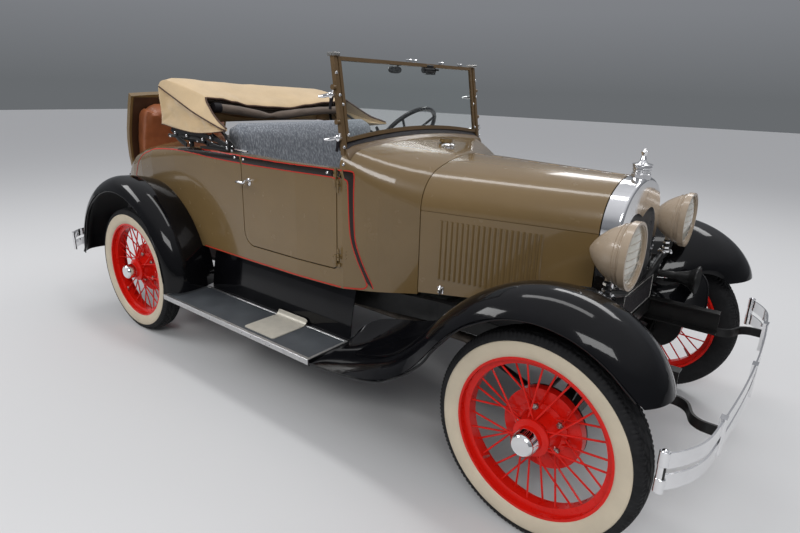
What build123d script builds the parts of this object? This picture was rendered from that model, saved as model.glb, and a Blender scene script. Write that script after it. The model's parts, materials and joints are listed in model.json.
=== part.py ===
from build123d import *
import os
from math import asin, atan, cos, radians, sin

# A 1920s open two-seat roadster: rumble seat open, soft top folded.
# Millimetres. +X points forward, +Y to the car's left, +Z up.
# The origin is on the ground, under the middle of the car's overall box.
# Places along the car are measured from the front or the rear axle.

# Overall
wheelbase = 2629
track = 1422
front_overhang = 525
rear_overhang = 905
running_gap = 6
seat_gap = 0.3

# Body
body_half = 590
body_wall = 35
sill_z = 600
belt_z = 1140
cowl_length = 290
cockpit_length = 1011
door_length = 637
door_setback = 35
door_bottom = 690
door_rear_corner = 70
door_front_corner = 20
floor_thickness = 16
tail_behind_axle = 576
lid_length = 494
lid_half = 382
lid_hinge_z = 812
lid_open = 58
rumble_pad = 100
rumble_z = 700
rumble_cushion = 150
hinge_radius = 8
hinge_pin = 3.5
hinge_knuckle = 13
door_hinges = (730, 1092)
door_hinge_proud = 9.5
lid_hinge_y = 240

# Bonnet and radiator
hood_length = 723
hood_gap = 5
hood_skin = 6
hood_rear_half = 388
hood_front_half = 255
hood_rear_top = 1196
hood_front_top = 1174
hood_seam_z = 985
hood_rod = 3.5
hood_rod_gap = 9
rod_drop = 4
rod_knuckles = 8
knuckle_length = 50
seam_bead = 3
seam_drop = 1.5
hood_side_rear_depth = 375
hood_side_front_depth = 310
louvre_count = 19
louvre_pitch = 23.7
louvre_height = 260
louvre_z = -165
shell_behind_axle = 32
shell_depth = 72
shell_bottom = 590
shell_skin = 6

# Wheels and axles
tyre_radius = 378
tyre_width = 115
rim_radius = 281
rim_width = 92
spoke_count = 30
spoke_radius = 3.5
drum_radius = 146
drum_back = -76
hub_back = -46
spindle_radius = 15
kingpin_half = 600
kingpin_radius = 9
steer_arm = 150
tie_stud = 7
steer_rest = -3

# Chassis
rail_height = 100
rail_width = 45
rail_wall = 5
rail_front_half = 345
rail_rear_half = 460
board_top = 362
board_thickness = 24
board_inner = 590
board_outer = 838
board_front = -985
board_rear = 479
wing_skin = 6
wing_lip = 840
rear_wing_radius = 570

# Fittings
lamp_radius = 115
lamp_half = 387
lamp_z = 960
lens_seat = 140
screen_half = 537
screen_lean = 8.8
screen_height = 440
steering_radius = 222
steering_y = 320
steering_x = -1412
steering_z = 1211
column_tilt = 40
column_radius = 19
spare_z = 620
hub_cap_reach = 102
bar_radius = 12
bar_z = 790
bar_ahead = 60
crank_hole_z = 560
crank_hole_radius = 11
plate_hole_spacing = 180
plate_hole_radius = 3.5
plate_hole_z = 690
screen_ahead = -5
screen_foot = 1160
bumper_radius = 6200
bumper_main_half = 600
bumper_end_radius = 340
bumper_end_turn = 42
bumper_bar_height = 50
bumper_bar_thickness = 6
bumper_lows = (420, 490)
bumper_proud = 6
bumper_clamp_half = 485
arm_thickness = 9
rear_bumper_behind = 850
rear_bumper_low = 375
rear_tube = 1400
exhaust_y = -315
exhaust_z = 430
front_eye_z = 400
rear_eye_z = 440
rear_spring_behind = 150
spring_half = 510
member_bottom = 520
seat_top = 1292
horn_y = 330
horn_drop = 75

wheel_z = tyre_radius
hub_half = track / 2
front_axle_x = (front_overhang + wheelbase + rear_overhang) / 2 - front_overhang
rear_axle_x = front_axle_x - wheelbase


def fx(distance):
    """X of a place measured forward from the front axle."""
    return front_axle_x + distance


def rx(distance):
    """X of a place measured forward from the rear axle."""
    return rear_axle_x + distance


shell_back_x = fx(-shell_behind_axle)
hood_rear_x = shell_back_x - hood_length
cowl_front_x = hood_rear_x - hood_gap
cowl_rear_x = cowl_front_x - cowl_length
door_front_x = cowl_rear_x - door_setback
door_rear_x = door_front_x - door_length
cockpit_rear_x = door_front_x - cockpit_length
tail_x = rx(-tail_behind_axle)
lid_hinge_x = tail_x - 8
rail_top = sill_z - 12
rail_bottom = rail_top - rail_height
door_hinge_x = door_front_x + running_gap / 2
spare_x = rx(-rear_overhang) + hub_cap_reach
carrier_x = spare_x - hub_back + seat_gap
seat_x = fx(-1440)
seat_half = body_half - 70
top_half = body_half - 5
irons_half = top_half - 39
fold_bottom = belt_z + 200
rear_wing_section = (730, 830, 80, body_half - 45, 40)
# x, y of the blocks that carry the body on the right rail
mount_places = (
    (cowl_front_x - 30, rail_front_half + 25), (fx(-1300), rail_rear_half), (fx(-1800), rail_rear_half),
    (rx(380), rail_rear_half), (rx(-450), rail_rear_half - 35),
)


# General shapes

def block(low, high):
    """A box between two opposite corners."""
    size = [b - a for a, b in zip(low, high)]
    middle = [(a + b) / 2 for a, b in zip(low, high)]
    return Pos(*middle) * Box(*size)


def rod(start, end, radius):
    """A round bar between two points."""
    line = Vector(*end) - Vector(*start)
    base = Plane(origin=start, z_dir=line)
    return base * Cylinder(radius, line.length, align=(Align.CENTER, Align.CENTER, Align.MIN))


def bent_bar(points, radius, bend):
    """A round bar through points, with one bend radius."""
    path = FilletPolyline(*points, radius=bend)
    return sweep(Plane(path @ 0, z_dir=path % 0) * Circle(radius), path=path)


def turned(points, centre, axis=(0, 1, 0)):
    """A solid turned about a line: points are (along the axis, radius)."""
    profile = Plane.XZ * make_face(Polyline(*[(r, a) for a, r in points], close=True))
    return Plane(origin=centre, z_dir=axis) * revolve(profile, Axis.Z)


def cross_prism(outline, x_low, x_high):
    """An outline in front view, as (y, z), given its length along the car."""
    plane = Plane(origin=(x_low, 0, 0), x_dir=(0, 1, 0), z_dir=(1, 0, 0))
    return extrude(plane * make_face(outline), x_high - x_low)


def side_prism(outline, y_low, y_high):
    """An outline in side view, as (x, z), given its width."""
    plane = Plane(origin=(0, y_high, 0), x_dir=(1, 0, 0), z_dir=(0, -1, 0))
    return extrude(plane * make_face(outline), y_high - y_low)


def plan_prism(outline, z_low, z_high):
    """An outline in plan, as (x, y), given its height."""
    return extrude(Plane(origin=(0, 0, z_low)) * make_face(outline), z_high - z_low)


def whole(part):
    """The solids of a piece as one shape."""
    solids = part.solids()
    return solids[0] if len(solids) == 1 else Compound(solids)


def across(part):
    """The same piece on the car's other side."""
    return whole(part).mirror(Plane.XZ)


def save(name, *pieces):
    """Writes the solids of one named piece."""
    solids = ShapeList([solid for piece in pieces for solid in piece.solids()])
    export_step(solids[0] if len(solids) == 1 else Compound(solids), f"parts/{name}.step")


def save_pair(name, piece):
    """Writes a right-hand piece and its left twin."""
    save(f"{name}_right", piece)
    save(f"{name}_left", across(piece))


# Body sections

def arch_points(half, top, spring, lean):
    """Shoulder start, middle and end, and the crown's top, of tangent arcs."""
    angle = radians(lean)
    k = (1 - sin(angle)) / cos(angle)
    shoulder = (top - spring - half * k) / (1 - k)
    centre = half - shoulder
    middle = (centre + shoulder * cos(angle / 2), spring + shoulder * sin(angle / 2))
    crown = (centre + shoulder * cos(angle), spring + shoulder * sin(angle))
    return (half, spring), middle, crown, (0, top)


def arch_face(x, half, top, spring, lean, bottom, inset=0):
    """A section across the car: straight sides, round shoulders, crowned top."""
    side, middle, crown, peak = arch_points(half - inset, top - inset, spring, lean)

    def place(spot, flip=1):
        return Vector(x, flip * spot[0], spot[1])

    foot = (half - inset, bottom)
    edges = [
        Edge.make_line(place(foot, -1), place(foot)),
        Edge.make_line(place(foot), place(side)),
        Edge.make_three_point_arc(place(side), place(middle), place(crown)),
        Edge.make_three_point_arc(place(crown), place(peak), place(crown, -1)),
        Edge.make_three_point_arc(place(crown, -1), place(middle, -1), place(side, -1)),
        Edge.make_line(place(side, -1), place(foot, -1)),
    ]
    return Face(Wire(edges))


def arch_loft(stations, bottom, inset=0):
    """A body form through stations, straight from each to the next."""
    return loft([arch_face(*station, bottom, inset) for station in stations], ruled=True)


def smooth_rows(rows, steps):
    """Extra rows between a table's rows, on a smooth curve through each column."""
    slopes = []
    for number, row in enumerate(rows):
        before = rows[max(number - 1, 0)]
        after = rows[min(number + 1, len(rows) - 1)]
        slopes.append([(b - a) / (after[0] - before[0]) for a, b in zip(before, after)])
    result = []
    for row, after, slope, next_slope in zip(rows, rows[1:], slopes, slopes[1:]):
        run = after[0] - row[0]
        for step in range(steps):
            t = step / steps
            pull = (2 * t**3 - 3 * t**2 + 1, t**3 - 2 * t**2 + t, 3 * t**2 - 2 * t**3, t**3 - t**2)
            result.append(tuple(
                pull[0] * a + pull[1] * run * m + pull[2] * b + pull[3] * run * n
                for a, m, b, n in zip(row, slope, after, next_slope)
            ))
    return result + [rows[-1]]


def body_station(x, narrower, top, spring, lean):
    """A body section from what it is narrower than the widest, and its heights over the belt."""
    return (x, body_half - narrower, belt_z + top, belt_z + spring, lean)


# x, half width, top, spring line, lean of the crown's end
hood_stations = (
    (hood_rear_x, hood_rear_half, hood_rear_top, hood_seam_z, 70),
    (shell_back_x - hood_gap, hood_front_half, hood_front_top, hood_seam_z, 62),
)
cowl_end = body_station(cowl_rear_x, 25, 116, 9, 83.5)
cowl_stations = (
    (cowl_front_x, hood_rear_half, hood_rear_top, hood_seam_z, 70),
    body_station(cowl_front_x - cowl_length / 2, 98, 84, -80, 78),
    cowl_end,
)
body_stations = (
    cowl_end,
    body_station(cowl_rear_x - 280, 4, 76, -10, 84),
    body_station(rx(560), 0, 36, -35, 84),
    body_station(rx(0), 15, 12, -100, 80),
    body_station(rx(-320), 58, -32, -200, 74),
    body_station(rx(-480), 104, -90, -300, 68),
    body_station(tail_x, 145, -165, -385, 62),
)


def moved_station(station, step):
    """The same section a little further forward."""
    return (station[0] + step, *station[1:])


def make_cowl():
    """Bulkhead, scuttle and dash in front of the doors."""
    rows = smooth_rows(cowl_stations, 3)
    outer = arch_loft(rows, sill_z)
    inner = arch_loft(rows[:-1] + [moved_station(rows[-1], -1)], sill_z - 1, body_wall)
    inner -= block((cowl_front_x - body_wall, -700, 0), (cowl_front_x + 1, 700, 1400))
    dash = block((cowl_rear_x, -700, 1010), (cowl_rear_x + 12, 700, 1300)) & inner
    cap_x = cowl_front_x - cowl_length / 2
    neck = Pos(cap_x, 0, hood_rear_top + 24) * Cylinder(24, 36)
    cap = Pos(cap_x, 0, hood_rear_top + 48) * Cylinder(32, 16)
    hanger = block((cowl_rear_x, steering_y - 20, 870), (cowl_rear_x + 12, steering_y + 20, 1012))
    hanger -= column_plane() * Cylinder(column_radius + seat_gap, 1200)
    hanger = hanger.solids().sort_by(Axis.Z)[-1]
    return outer, inner, (outer - inner) + dash + (neck - inner) + cap + hanger


def body_room(inset):
    """The space inside the body, one inset from its outer form."""
    rows = smooth_rows(body_stations, 2)
    room = arch_loft([moved_station(rows[0], 1)] + rows[1:], sill_z - 1, inset)
    return room - block((tail_x - 1, -700, 0), (tail_x + inset, 700, 1300))


def make_body():
    """The body behind the cowl: its outer form, its room, and its walls."""
    rows = smooth_rows(body_stations, 2)
    outer = arch_loft(rows, sill_z)
    inner = body_room(body_wall)
    cockpit = block((cockpit_rear_x, -700, belt_z), (cowl_rear_x - 14, 700, hood_rear_top + 200))
    cockpit += block(
        (cockpit_rear_x, -seat_half - 8, belt_z - 80),
        (cowl_rear_x - 14, seat_half + 8, belt_z + 1),
    )
    return outer, inner, (outer - inner) - cockpit


def door_region(grow=0):
    """The right door in side view, as a block with round lower corners."""
    region = block(
        (door_rear_x - grow, -700, door_bottom - grow),
        (door_front_x + grow, -400, hood_rear_top + 100),
    )
    corners = region.edges().filter_by(Axis.Y).sort_by(Axis.Z)[:2].sort_by(Axis.X)
    region = fillet(corners[0], door_rear_corner + grow)
    ahead = region.edges().filter_by(Axis.Y).group_by(Axis.X)[-1]
    return fillet(ahead.sort_by(Axis.Z)[0], door_front_corner + grow)


def lid_region(grow=0):
    """The rumble opening: part of the deck and the top of the tail."""
    return block(
        (tail_x - 100, -lid_half - grow, lid_hinge_z + running_gap / 2 - grow),
        (tail_x + lid_length + grow, lid_half + grow, hood_rear_top),
    )


def opened(piece):
    """Swings a piece from the closed lid's place to the open one."""
    return piece.rotate(Axis((lid_hinge_x, 0, lid_hinge_z), (0, -1, 0)), lid_open)


# Hinges

def hinge(origin, along, inward, leaf):
    """A butt hinge as two pieces: fixed knuckles with their pin and leaf, and the moving knuckle.

    The pin runs along one direction through the origin. The leaves lie on either side of it,
    sunk a little into the skin that inward points to."""
    plane = Plane(origin=origin, x_dir=inward, z_dir=along)
    far = 2 * hinge_knuckle + 1
    pin = Cylinder(hinge_pin, 2 * far)
    fixed = pin
    for side in (-1, 1):
        middle = side * (far + hinge_knuckle + seat_gap) / 2
        fixed += Pos(0, 0, middle) * Cylinder(hinge_radius, far - hinge_knuckle - seat_gap)
        fixed += block((hinge_radius - 6, -0.1, middle - 6.5), (hinge_radius + 4, leaf, middle + 6.5))
    moving = Cylinder(hinge_radius, 2 * hinge_knuckle)
    moving += block((hinge_radius - 6, -leaf, -hinge_knuckle), (hinge_radius + 4, 0.1, hinge_knuckle))
    moving -= Cylinder(hinge_pin + seat_gap, 4 * far)
    return plane * fixed, plane * moving


def side_half(x):
    """Half width of the body's upright side at a place along it."""
    rows = smooth_rows(body_stations, 2)
    for row, after in zip(rows, rows[1:]):
        if after[0] <= x <= row[0]:
            return row[1] + (after[1] - row[1]) * (x - row[0]) / (after[0] - row[0])


def make_door_hinges():
    """The right door's two hinges: the body's pieces, then the door's."""
    fixed, moving = [], []
    for z in door_hinges:
        origin = (door_hinge_x, -side_half(door_hinge_x) - door_hinge_proud, z)
        post, leaf = hinge(origin, (0, 0, -1), (0, 1, 0), 24)
        fixed.append(post)
        moving.append(leaf)
    return fixed, moving


def make_lid_hinges():
    """The lid's two hinges: the tail's pieces, then the closed lid's."""
    fixed, moving = [], []
    for y in (-lid_hinge_y, lid_hinge_y):
        post, leaf = hinge((lid_hinge_x, y, lid_hinge_z), (0, 1, 0), (1, 0, 0), 40)
        fixed.append(post)
        moving.append(leaf)
    return fixed, moving


# Bonnet

def make_hood_side():
    """The right bonnet side, with upright louvres open to the rear."""
    start = Vector(hood_rear_x, -hood_rear_half, hood_seam_z)
    end = Vector(shell_back_x - hood_gap, -hood_front_half, hood_seam_z)
    along = end - start
    length = along.length
    plane = Plane(origin=start, x_dir=along, z_dir=along.cross(Vector(0, 0, 1)))
    head = -seam_bead - seam_drop - seat_gap
    corners = (
        (0, head), (0, -hood_side_rear_depth),
        (length, -hood_side_front_depth), (length, head),
    )
    plate = extrude(make_face(Polyline(*corners, close=True)), -hood_skin)
    first = length - 208 - (louvre_count - 1) * louvre_pitch
    outline = Line((-5, -1), (-5, 6)) + ThreePointArc((-5, 6), (3, 4.5), (9, -1)) + Line((9, -1), (-5, -1))
    lip = extrude(Plane.XZ * make_face(outline), louvre_height / 2, both=True)
    slot = Pos(-3.5, 0, -2) * Box(8, louvre_height - 8, 13)
    places = [Pos(first + number * louvre_pitch, louvre_z, 0) for number in range(louvre_count)]
    plate += [place * lip for place in places]
    plate -= [place * slot for place in places]
    return plane * plate


def rod_line():
    """The ends of the bonnet's centre rod."""
    return (
        Vector(hood_rear_x - hood_gap + seat_gap, 0, hood_rear_top - rod_drop),
        Vector(shell_back_x - seat_gap, 0, hood_front_top - rod_drop),
    )


def rod_knuckle(number, side):
    """One knuckle of a bonnet half round the centre rod, with its leaf."""
    start, end = rod_line()
    step = (end - start) / rod_knuckles
    plane = Plane(origin=start + step * (number + 0.5), x_dir=(0, side, 0), z_dir=step)
    half = knuckle_length / 2
    tube = Cylinder(hood_rod + 2.5, knuckle_length)
    leaf = block((hood_rod, -1.8, -half), (hood_rod_gap + 5, 1.8, half))
    return plane * (tube + leaf - Cylinder(hood_rod + seat_gap, knuckle_length + 2))


def make_hood_top(side):
    """One half of the bonnet's top, with the bead that its side hangs on."""
    rear, front = hood_stations
    outer = arch_loft(hood_stations, sill_z)
    inner = arch_loft((moved_station(rear, -1), moved_station(front, 1)), sill_z - 1, hood_skin)
    half = block((hood_rear_x - 10, -500, hood_seam_z + 1), (shell_back_x, -hood_rod_gap, 1400))
    bead = rod(
        (hood_rear_x, -hood_rear_half + hood_skin / 2, hood_seam_z - seam_drop),
        (shell_back_x - hood_gap, -hood_front_half + hood_skin / 2, hood_seam_z - seam_drop), seam_bead,
    )
    panel = whole((outer - inner) & half) + bead
    if side > 0:
        panel = across(panel)
    first = 0 if side < 0 else 1
    return panel + [rod_knuckle(number, side) for number in range(first, rod_knuckles, 2)]


def make_hood_rod():
    """The rod along the top that both bonnet halves hinge on."""
    return rod(*rod_line(), hood_rod)


def make_radiator_shell():
    """Bright shell round the core, with its filler cap and a turned finial."""
    back = (shell_back_x, hood_front_half + 1, hood_front_top, hood_seam_z, 62)
    front = moved_station(back, shell_depth)
    shell = arch_loft((back, front), shell_bottom)
    face = shell.faces().sort_by(Axis.X)[-1]
    shell = fillet(face.edges().filter_by(lambda e: e.center().Z > shell_bottom + 5), 14)
    room = arch_loft((moved_station(back, -1), moved_station(front, -12)), shell_bottom - 1, shell_skin)
    half = hood_front_half - 57
    low = shell_bottom + 20
    high = hood_front_top - 130
    window = (
        Line((-half, low), (half, low)) + Line((half, low), (half, high - 114))
        + ThreePointArc((half, high - 114), (half - 20, high - 42), (half - 86, high))
        + ThreePointArc((half - 86, high), (55, high - 4), (0, high - 26))
        + ThreePointArc((0, high - 26), (-55, high - 4), (86 - half, high))
        + ThreePointArc((86 - half, high), (20 - half, high - 42), (-half, high - 114))
        + Line((-half, high - 114), (-half, low))
    )
    cut = cross_prism(window, front[0] - 30, front[0] + 30)
    # height above the shell, radius
    finial = (
        (-8, 0), (-8, 36), (12, 36), (16, 30), (26, 26), (34, 12), (52, 8),
        (66, 12), (80, 8), (96, 14), (108, 0),
    )
    cap = turned(finial, (shell_back_x + shell_depth * 0.57, 0, hood_front_top), (0, 0, 1))
    return (shell - room - cut) + (cap - room)


def make_radiator():
    """Core with its header and lower tank, inside the shell."""
    back = shell_back_x + 6
    front = shell_back_x + shell_depth - 13
    half = hood_front_half - 12
    shoulder = hood_front_top - 214
    core = block((back, -half, shell_bottom), (front, half, shoulder))
    head = block((back, 53 - half, shoulder), (front, half - 53, shoulder + 120))
    return core + head


# Wings

def crown_arc(reach, drop, skin):
    """Middle and end of an arc that leaves the crown level, one skin below it."""
    half_turn = atan(drop / reach)
    radius = reach / sin(2 * half_turn)

    def spot(angle):
        return (radius - skin) * sin(angle), (radius - skin) * cos(angle) - radius

    return spot(half_turn), spot(2 * half_turn)


def wing_outline(crown_y, lip_y, lip_drop, inner_y, inner_drop):
    """Corners of a wing's section as (y, height over the crown), outside and inside."""
    rows = []
    for skin in (0, wing_skin):
        lip_middle, lip_end = crown_arc(lip_y - crown_y, lip_drop, skin)
        inner_middle, inner_end = crown_arc(crown_y - inner_y, inner_drop, skin)
        rows.append((
            (crown_y + lip_end[0], lip_end[1]),
            (crown_y + lip_middle[0], lip_middle[1]),
            (crown_y, -skin),
            (crown_y - inner_middle[0], inner_middle[1]),
            (crown_y - inner_end[0], inner_end[1]),
        ))
    return rows


def wing_face(origin, up, section):
    """One section of a right wing, standing on the crown point along a direction."""
    def place(spot):
        return Vector(*origin) + Vector(0, -spot[0], 0) + up * spot[1]

    over, under = [[place(spot) for spot in row] for row in wing_outline(*section)]
    edges = [
        Edge.make_three_point_arc(over[0], over[1], over[2]),
        Edge.make_three_point_arc(over[2], over[3], over[4]),
        Edge.make_line(over[4], under[4]),
        Edge.make_three_point_arc(under[4], under[3], under[2]),
        Edge.make_three_point_arc(under[2], under[1], under[0]),
        Edge.make_line(under[0], over[0]),
    ]
    return Face(Wire(edges))


# x, z, forward tilt, then crown y, lip y, lip drop, inner y, inner drop
front_wing_rows = (
    (fx(386), 668, 84, (715, 822, 50, 560, 70)),
    (fx(298), 805, 47, (711, 838, 80, 470, 150)),
    (fx(50), 908, 0, (711, wing_lip, 85, 402, 235)),
    (fx(-296), 796, -38, (711, wing_lip, 72, 402, 150)),
    (fx(-480), 610, -50, (705, wing_lip, 85, 402, 28)),
    (fx(-700), 440, -30, (690, wing_lip - 1, 55, 430, -60)),
    (fx(board_front), board_top, 0, (700, board_outer, 20, board_inner, 0.5)),
)


def make_front_wing():
    """The right front wing, from its nose to the running board."""
    faces = []
    for x, z, tilt, section in front_wing_rows:
        up = Vector(sin(radians(tilt)), 0, cos(radians(tilt)))
        faces.append(wing_face((x, 0, z), up, section))
    return loft(faces)


def make_rear_wing(body):
    """The right rear wing, turned about the hub line and cut to the body's side."""
    foot = (rear_axle_x + rear_wing_radius, 0, wheel_z)
    start = wing_face(foot, Vector(1, 0, 0), rear_wing_section)
    wing = revolve(start, Axis((rear_axle_x, 0, wheel_z), (0, -1, 0)), 177)
    floor = block((rx(0), -900, 0), (rx(700), -400, board_top + 10))
    return wing - body - floor


def make_board():
    """The right running board."""
    return block(
        (rx(board_rear), -board_outer, board_top - board_thickness),
        (fx(board_front) - seat_gap, -board_inner, board_top),
    )


def make_apron():
    """Curved sheet between the right running board and the sill."""
    foot = (1 - board_inner, board_top - board_thickness)
    bulge = (16 - body_half, board_top + 110)
    head = (44 - body_half, sill_z - seat_gap)
    back_foot, back_bulge, back_head = [(y + 5, z) for y, z in (foot, bulge, head)]
    outline = (
        ThreePointArc(foot, bulge, head) + Line(head, back_head)
        + ThreePointArc(back_head, back_bulge, back_foot) + Line(back_foot, foot)
    )
    return cross_prism(outline, rx(rear_wing_radius + 1), fx(board_front))


# Wheels

def make_tyre(centre, outboard=(0, 1, 0)):
    """One tyre on its rim."""
    half = tyre_width / 2
    tread = half - 14
    bead = rim_width / 2 - 8
    profile = (
        (-bead, rim_radius), (-half, rim_radius + 48), (-tread, tyre_radius), (tread, tyre_radius),
        (half, rim_radius + 48), (bead, rim_radius),
    )
    return turned(profile, centre, outboard)


def make_wheel():
    """A wire wheel facing +Z at the origin: rim, hub and two rows of spokes."""
    bead = rim_width / 2
    inner = rim_radius - 4
    rim = turned((
        (-bead, rim_radius + 7), (-bead, inner), (-24, inner), (-20, rim_radius - 26),
        (20, rim_radius - 26), (24, inner), (bead, inner), (bead, rim_radius + 7),
        (bead - 5, rim_radius + 7), (bead - 5, rim_radius), (22, rim_radius),
        (16, rim_radius - 21), (-16, rim_radius - 21), (-22, rim_radius),
        (5 - bead, rim_radius), (5 - bead, rim_radius + 7),
    ), (0, 0, 0), (0, 0, 1))
    bore = spindle_radius + seat_gap
    barrel = turned((
        (hub_back, bore), (hub_back, 97), (-38, 97), (-34, 78), (14, 62), (26, 66), (34, 66), (40, 46),
        (60, 40), (92, 39), (99, 33), (hub_cap_reach, 14), (hub_cap_reach, 0), (40, 0), (40, bore),
    ), (0, 0, 0), (0, 0, 1))
    spokes = []
    for number in range(spoke_count):
        angle = radians(360 * number / spoke_count)
        outer_row = number % 2 == 0
        lean = radians(22 if number % 4 < 2 else -22)
        root_radius, root_z, head_z = (60, 20, -6) if outer_row else (84, -37, 6)
        root = (root_radius * cos(angle + lean), root_radius * sin(angle + lean), root_z)
        reach = rim_radius - 24
        head = (reach * cos(angle), reach * sin(angle), head_z)
        spokes.append(rod(root, head, spoke_radius))
    return barrel + rim + spokes


# along the hub, radius
back_plate = ((-85, 0), (-85, drum_radius), (-80, drum_radius), (-80, 0))


def make_drum():
    """The brake drum behind a wheel, facing +Z at the origin."""
    bore = spindle_radius + seat_gap
    return turned((
        (-44, bore), (-44, drum_radius), (drum_back, drum_radius), (drum_back, drum_radius - 7),
        (-50, drum_radius - 7), (-50, bore),
    ), (0, 0, 0), (0, 0, 1))


def placed_wheel(wheel, centre, outboard):
    """A wheel with its face turned to one side."""
    return Plane(origin=centre, x_dir=(0, 0, 1), z_dir=outboard) * wheel


def steered(piece, side):
    """Turns a front wheel piece about its kingpin to where it rests."""
    pin = Axis((front_axle_x, side * kingpin_half, 0), (0, 0, 1))
    return piece.rotate(pin, steer_rest)


def make_knuckle(side):
    """Spindle, forked lugs round the axle's end, back plate and steering arm."""
    out = hub_half - kingpin_half
    # measured from the kingpin, y outward
    spindle = rod((0, 24, 0), (0, out + 38, 0), spindle_radius)
    plate = turned(back_plate, (0, out, 0))
    cheek = block((-22, 22, -62), (22, 30, 62))
    lugs = [block((-20, -16, low), (20, 24, low + 24)) for low in (-62, 38)]
    arm = block((-steer_arm - 14, -14, -62), (0, 14, -44))
    stud = Pos(-steer_arm, 0, -70) * Cylinder(tie_stud, 30)
    knuckle = (spindle + plate + cheek + lugs + arm + stud) - Cylinder(kingpin_radius + seat_gap, 200)
    placed = Pos(front_axle_x, kingpin_half, wheel_z) * knuckle
    return placed if side > 0 else across(placed)


def make_tie_rod():
    """The bar that joins both steering arms behind the axle."""
    turn = radians(steer_rest)
    eye_x = front_axle_x - steer_arm * cos(turn)
    shift = -steer_arm * sin(turn)
    z = wheel_z - 74
    ends = [(eye_x, side * kingpin_half + shift, z) for side in (-1, 1)]
    bar = rod(*ends, 9)
    for end in ends:
        bar += Pos(*end) * Cylinder(16, 20)
        bar -= Pos(*end) * Cylinder(tie_stud + seat_gap, 60)
    return bar


# Chassis

def make_rail():
    """The right rail: a channel open to the middle, wider apart behind the engine."""
    # x, half width of the rail's middle line
    line = (
        (fx(330), rail_front_half), (fx(-650), rail_front_half + 12),
        (fx(-1250), rail_rear_half), (rx(-520), rail_rear_half),
    )
    half = rail_width / 2
    outer = [(x, -y - half) for x, y in line]
    web = [(x, -y - half + rail_wall) for x, y in line]
    inner = [(x, -y + half) for x, y in reversed(line)]
    rail = plan_prism(Polyline(*outer, *inner, close=True), rail_bottom, rail_top)
    room = plan_prism(Polyline(*web, *inner, close=True), rail_bottom + rail_wall, rail_top - rail_wall)
    return rail - room


def make_spare_carrier():
    """Two struts, a face plate and a spindle for the spare wheel."""
    return [
        rod((rx(-505), -130, 545), (carrier_x + 7, -50, spare_z - 20), 14),
        rod((rx(-505), 130, 545), (carrier_x + 7, 50, spare_z - 20), 14),
        rod((carrier_x, 0, spare_z), (carrier_x + 14, 0, spare_z), 92),
        rod((spare_x - 38, 0, spare_z), (carrier_x + 2, 0, spare_z), spindle_radius),
    ]


def make_board_brackets():
    """The right running board's two arms, each on a leg below the rail."""
    middle = -rail_rear_half
    top = board_top - board_thickness - seat_gap
    brackets = []
    for x in (fx(-1250), rx(700)):
        arm = block((x - 20, 60 - board_outer, top - 18), (x + 20, middle, top))
        leg = block((x - 20, middle - 12, top - 18), (x + 20, middle + 12, rail_bottom - seat_gap))
        brackets.append(arm + leg)
    return brackets


def make_front_member():
    """The cross member over the front spring, with the radiator's seat and the starting handle's hole."""
    top = rail_top - rail_wall - seat_gap
    member = block((fx(-42), -rail_front_half, member_bottom), (fx(42), rail_front_half, top))
    member += block((shell_back_x + 8, -200, top), (shell_back_x + 62, 200, shell_bottom - seat_gap))
    return member - rod((fx(-60), 0, crank_hole_z), (fx(60), 0, crank_hole_z), crank_hole_radius)


def make_frame():
    """Two rails with the cross members behind the engine, body mounts, spare carrier and bumper arms."""
    side = make_rail()
    for x, y in mount_places:
        side += block((x - 25, -y - 16, rail_top), (x + 25, -y + 16, sill_z - seat_gap))
    # x from, x to, half width, bottom, top
    spring_x = rx(-rear_spring_behind)
    inside = rail_top - rail_wall
    members = (
        (fx(-1150), fx(-1100), rail_rear_half - 30, member_bottom, inside),
        (spring_x - 30, spring_x + 30, rail_rear_half, member_bottom, inside),
        (rx(-520), rx(-480), rail_rear_half, member_bottom - 20, rail_top),
    )
    frame = side + across(side) + make_spare_carrier() + make_bumper_arms()
    return frame + [block((rear, -half, low), (front, half, high)) for rear, front, half, low, high in members]


def leaf_spring(x, half, eye_z, top_z, width):
    """A bowed pack of leaves across the car."""
    end = 9
    middle = 46
    outline = (
        ThreePointArc((-half, eye_z + end), (0, top_z), (half, eye_z + end))
        + Line((half, eye_z + end), (half, eye_z))
        + ThreePointArc((half, eye_z), (0, top_z - middle), (-half, eye_z))
        + Line((-half, eye_z), (-half, eye_z + end))
    )
    return cross_prism(outline, x - width / 2, x + width / 2)


def make_front_axle():
    """Dropped beam with its kingpins, spring perches and radius rods."""
    # in from the kingpin, up from the hub
    half = ((190, -78), (90, -60), (0, -18), (0, 18), (80, -20), (190, -36))
    outline = [(kingpin_half - y, wheel_z + z) for y, z in half]
    outline += [(-y, z) for y, z in reversed(outline)]
    beam = cross_prism(Polyline(*outline, close=True), front_axle_x - 22, front_axle_x + 22)
    pieces = []
    for side in (-1, 1):
        pin = (front_axle_x, side * kingpin_half, wheel_z)
        pieces.append(Pos(*pin) * Cylinder(20, 2 * 37))
        pieces.append(Pos(*pin) * Cylinder(kingpin_radius, 132))
        perch = side * 470
        pieces.append(block((fx(-16), perch - 14, wheel_z - 40), (fx(16), perch + 14, front_eye_z)))
        pieces.append(rod((fx(-10), side * 440, wheel_z - 50), (fx(-900), side * 20, wheel_z - 50), 14))
    ball = Pos(fx(-900), 0, wheel_z - 50) * Sphere(28)
    return beam + pieces + ball


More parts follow.
